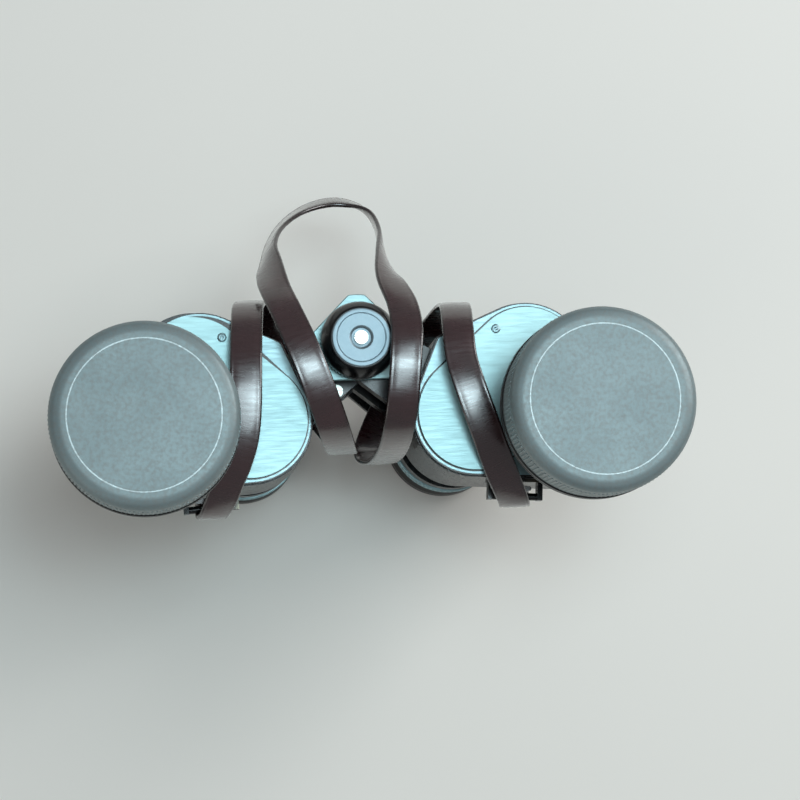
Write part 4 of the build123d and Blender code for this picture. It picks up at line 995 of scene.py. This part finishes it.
def easedRun(values, before, after, steps):
    # more points along a list of vectors, on one smooth curve
    padded = [before, *values, after]
    run = []
    for index in range(1, len(padded) - 2):
        first, start, end, last = padded[index - 1:index + 3]
        pullOut, pullIn = (end - first) / 2, (last - start) / 2
        for step in range(steps):
            t = step / steps
            run.append(start * (2 * t ** 3 - 3 * t ** 2 + 1) + pullOut * (t ** 3 - 2 * t ** 2 + t)
                       + end * (3 * t ** 2 - 2 * t ** 3) + pullIn * (t ** 3 - t ** 2))
    return [*run, values[-1]]


def strapProfile():
    # across and outward, in millimetres: skived round edges, a slight crown and a creased line near each
    # edge
    halfWidth, halfThick = strapSettings["width"] / 2, strapSettings["thickness"] / 2
    crease, depth, crown = strapSettings["creaseIn"], strapSettings["creaseDepth"], strapSettings["crown"]
    upper = [(halfWidth, 0.1), (halfWidth - 0.08, halfThick - 0.28), (halfWidth - 0.3, halfThick - 0.08),
             (halfWidth - crease + 0.3, halfThick), (halfWidth - crease, halfThick - depth),
             (halfWidth - crease - 0.32, halfThick + crown * 0.3),
             (1.6, halfThick + crown * 0.8), (0, halfThick + crown)]
    lower = [(halfWidth - 0.06, -halfThick + 0.3), (halfWidth - 0.28, -halfThick + 0.06),
             (2.4, -halfThick), (0, -halfThick + 0.02)]
    rightHalf = upper
    leftHalf = [(-a, b) for a, b in reversed(upper[:-1])]
    lowerLeft = [(-a, b) for a, b in lower[:-1]]
    return rightHalf + leftHalf + lowerLeft + [lower[-1]] + list(reversed(lower[:-1]))


def strapStrip(name, route, before, after, startRun):
    points = [Vector(p) for p, _ in route]
    looks = [Vector(n) for _, n in route]
    first = Vector(before[0]) if before else points[0] * 2 - points[1]
    last = Vector(after[0]) if after else points[-1] * 2 - points[-2]
    steps = strapSettings["steps"]
    path = easedRun(points, first, last, steps)
    outward = easedRun(looks, Vector(before[1]) if before else looks[0],
                       Vector(after[1]) if after else looks[-1], steps)
    profile = strapProfile()
    verts, faces, runs, run = [], [], [], startRun
    for index, spot in enumerate(path):
        if index == 0:
            along = points[1] - first
        elif index == len(path) - 1:
            along = last - points[-2]
        else:
            along = path[index + 1] - path[index - 1]
        if index:
            run += (spot - path[index - 1]).length
        along.normalize()
        across = along.cross(outward[index]).normalized()
        up = across.cross(along).normalized()
        for a, b in profile:
            verts.append((spot + across * a + up * b) * mm)
            runs.append((run * mm, a * mm))
    count = len(profile)
    for index in range(len(path) - 1):
        for k in range(count):
            near, far = index * count, (index + 1) * count
            faces.append((near + k, near + (k + 1) % count, far + (k + 1) % count, far + k))
    faces.append(tuple(range(count)))
    faces.append(tuple(range(len(verts) - count, len(verts))))
    strip = meshPiece(name, verts, faces, [leather])
    layer = strip.data.uv_layers.new(name="strapRun")
    for corner in strip.data.loops:
        layer.data[corner.index].uv = runs[corner.vertex_index]
    work = bmesh.new()
    work.from_mesh(strip.data)
    bmesh.ops.recalc_face_normals(work, faces=work.faces)
    work.to_mesh(strip.data)
    work.free()
    return smoothShade(strip, 60), run


strapLeft, run = strapStrip("strapLeft", leftRoute, None, loopRoute[1], 0)
strapLoop, run = strapStrip("strapLoop", loopRoute, leftRoute[-2], rightRoute[1], run)
strapRight, run = strapStrip("strapRight", rightRoute, loopRoute[-2], None, run)
mount(strapLeft, "left_half", "strap_leather", "strap_left")
mount(strapRight, "right_half", "strap_leather", "strap_right")
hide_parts("strap_loop")
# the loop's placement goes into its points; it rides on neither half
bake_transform(strapLoop)
print("strap wound, length in mm:", round(run))
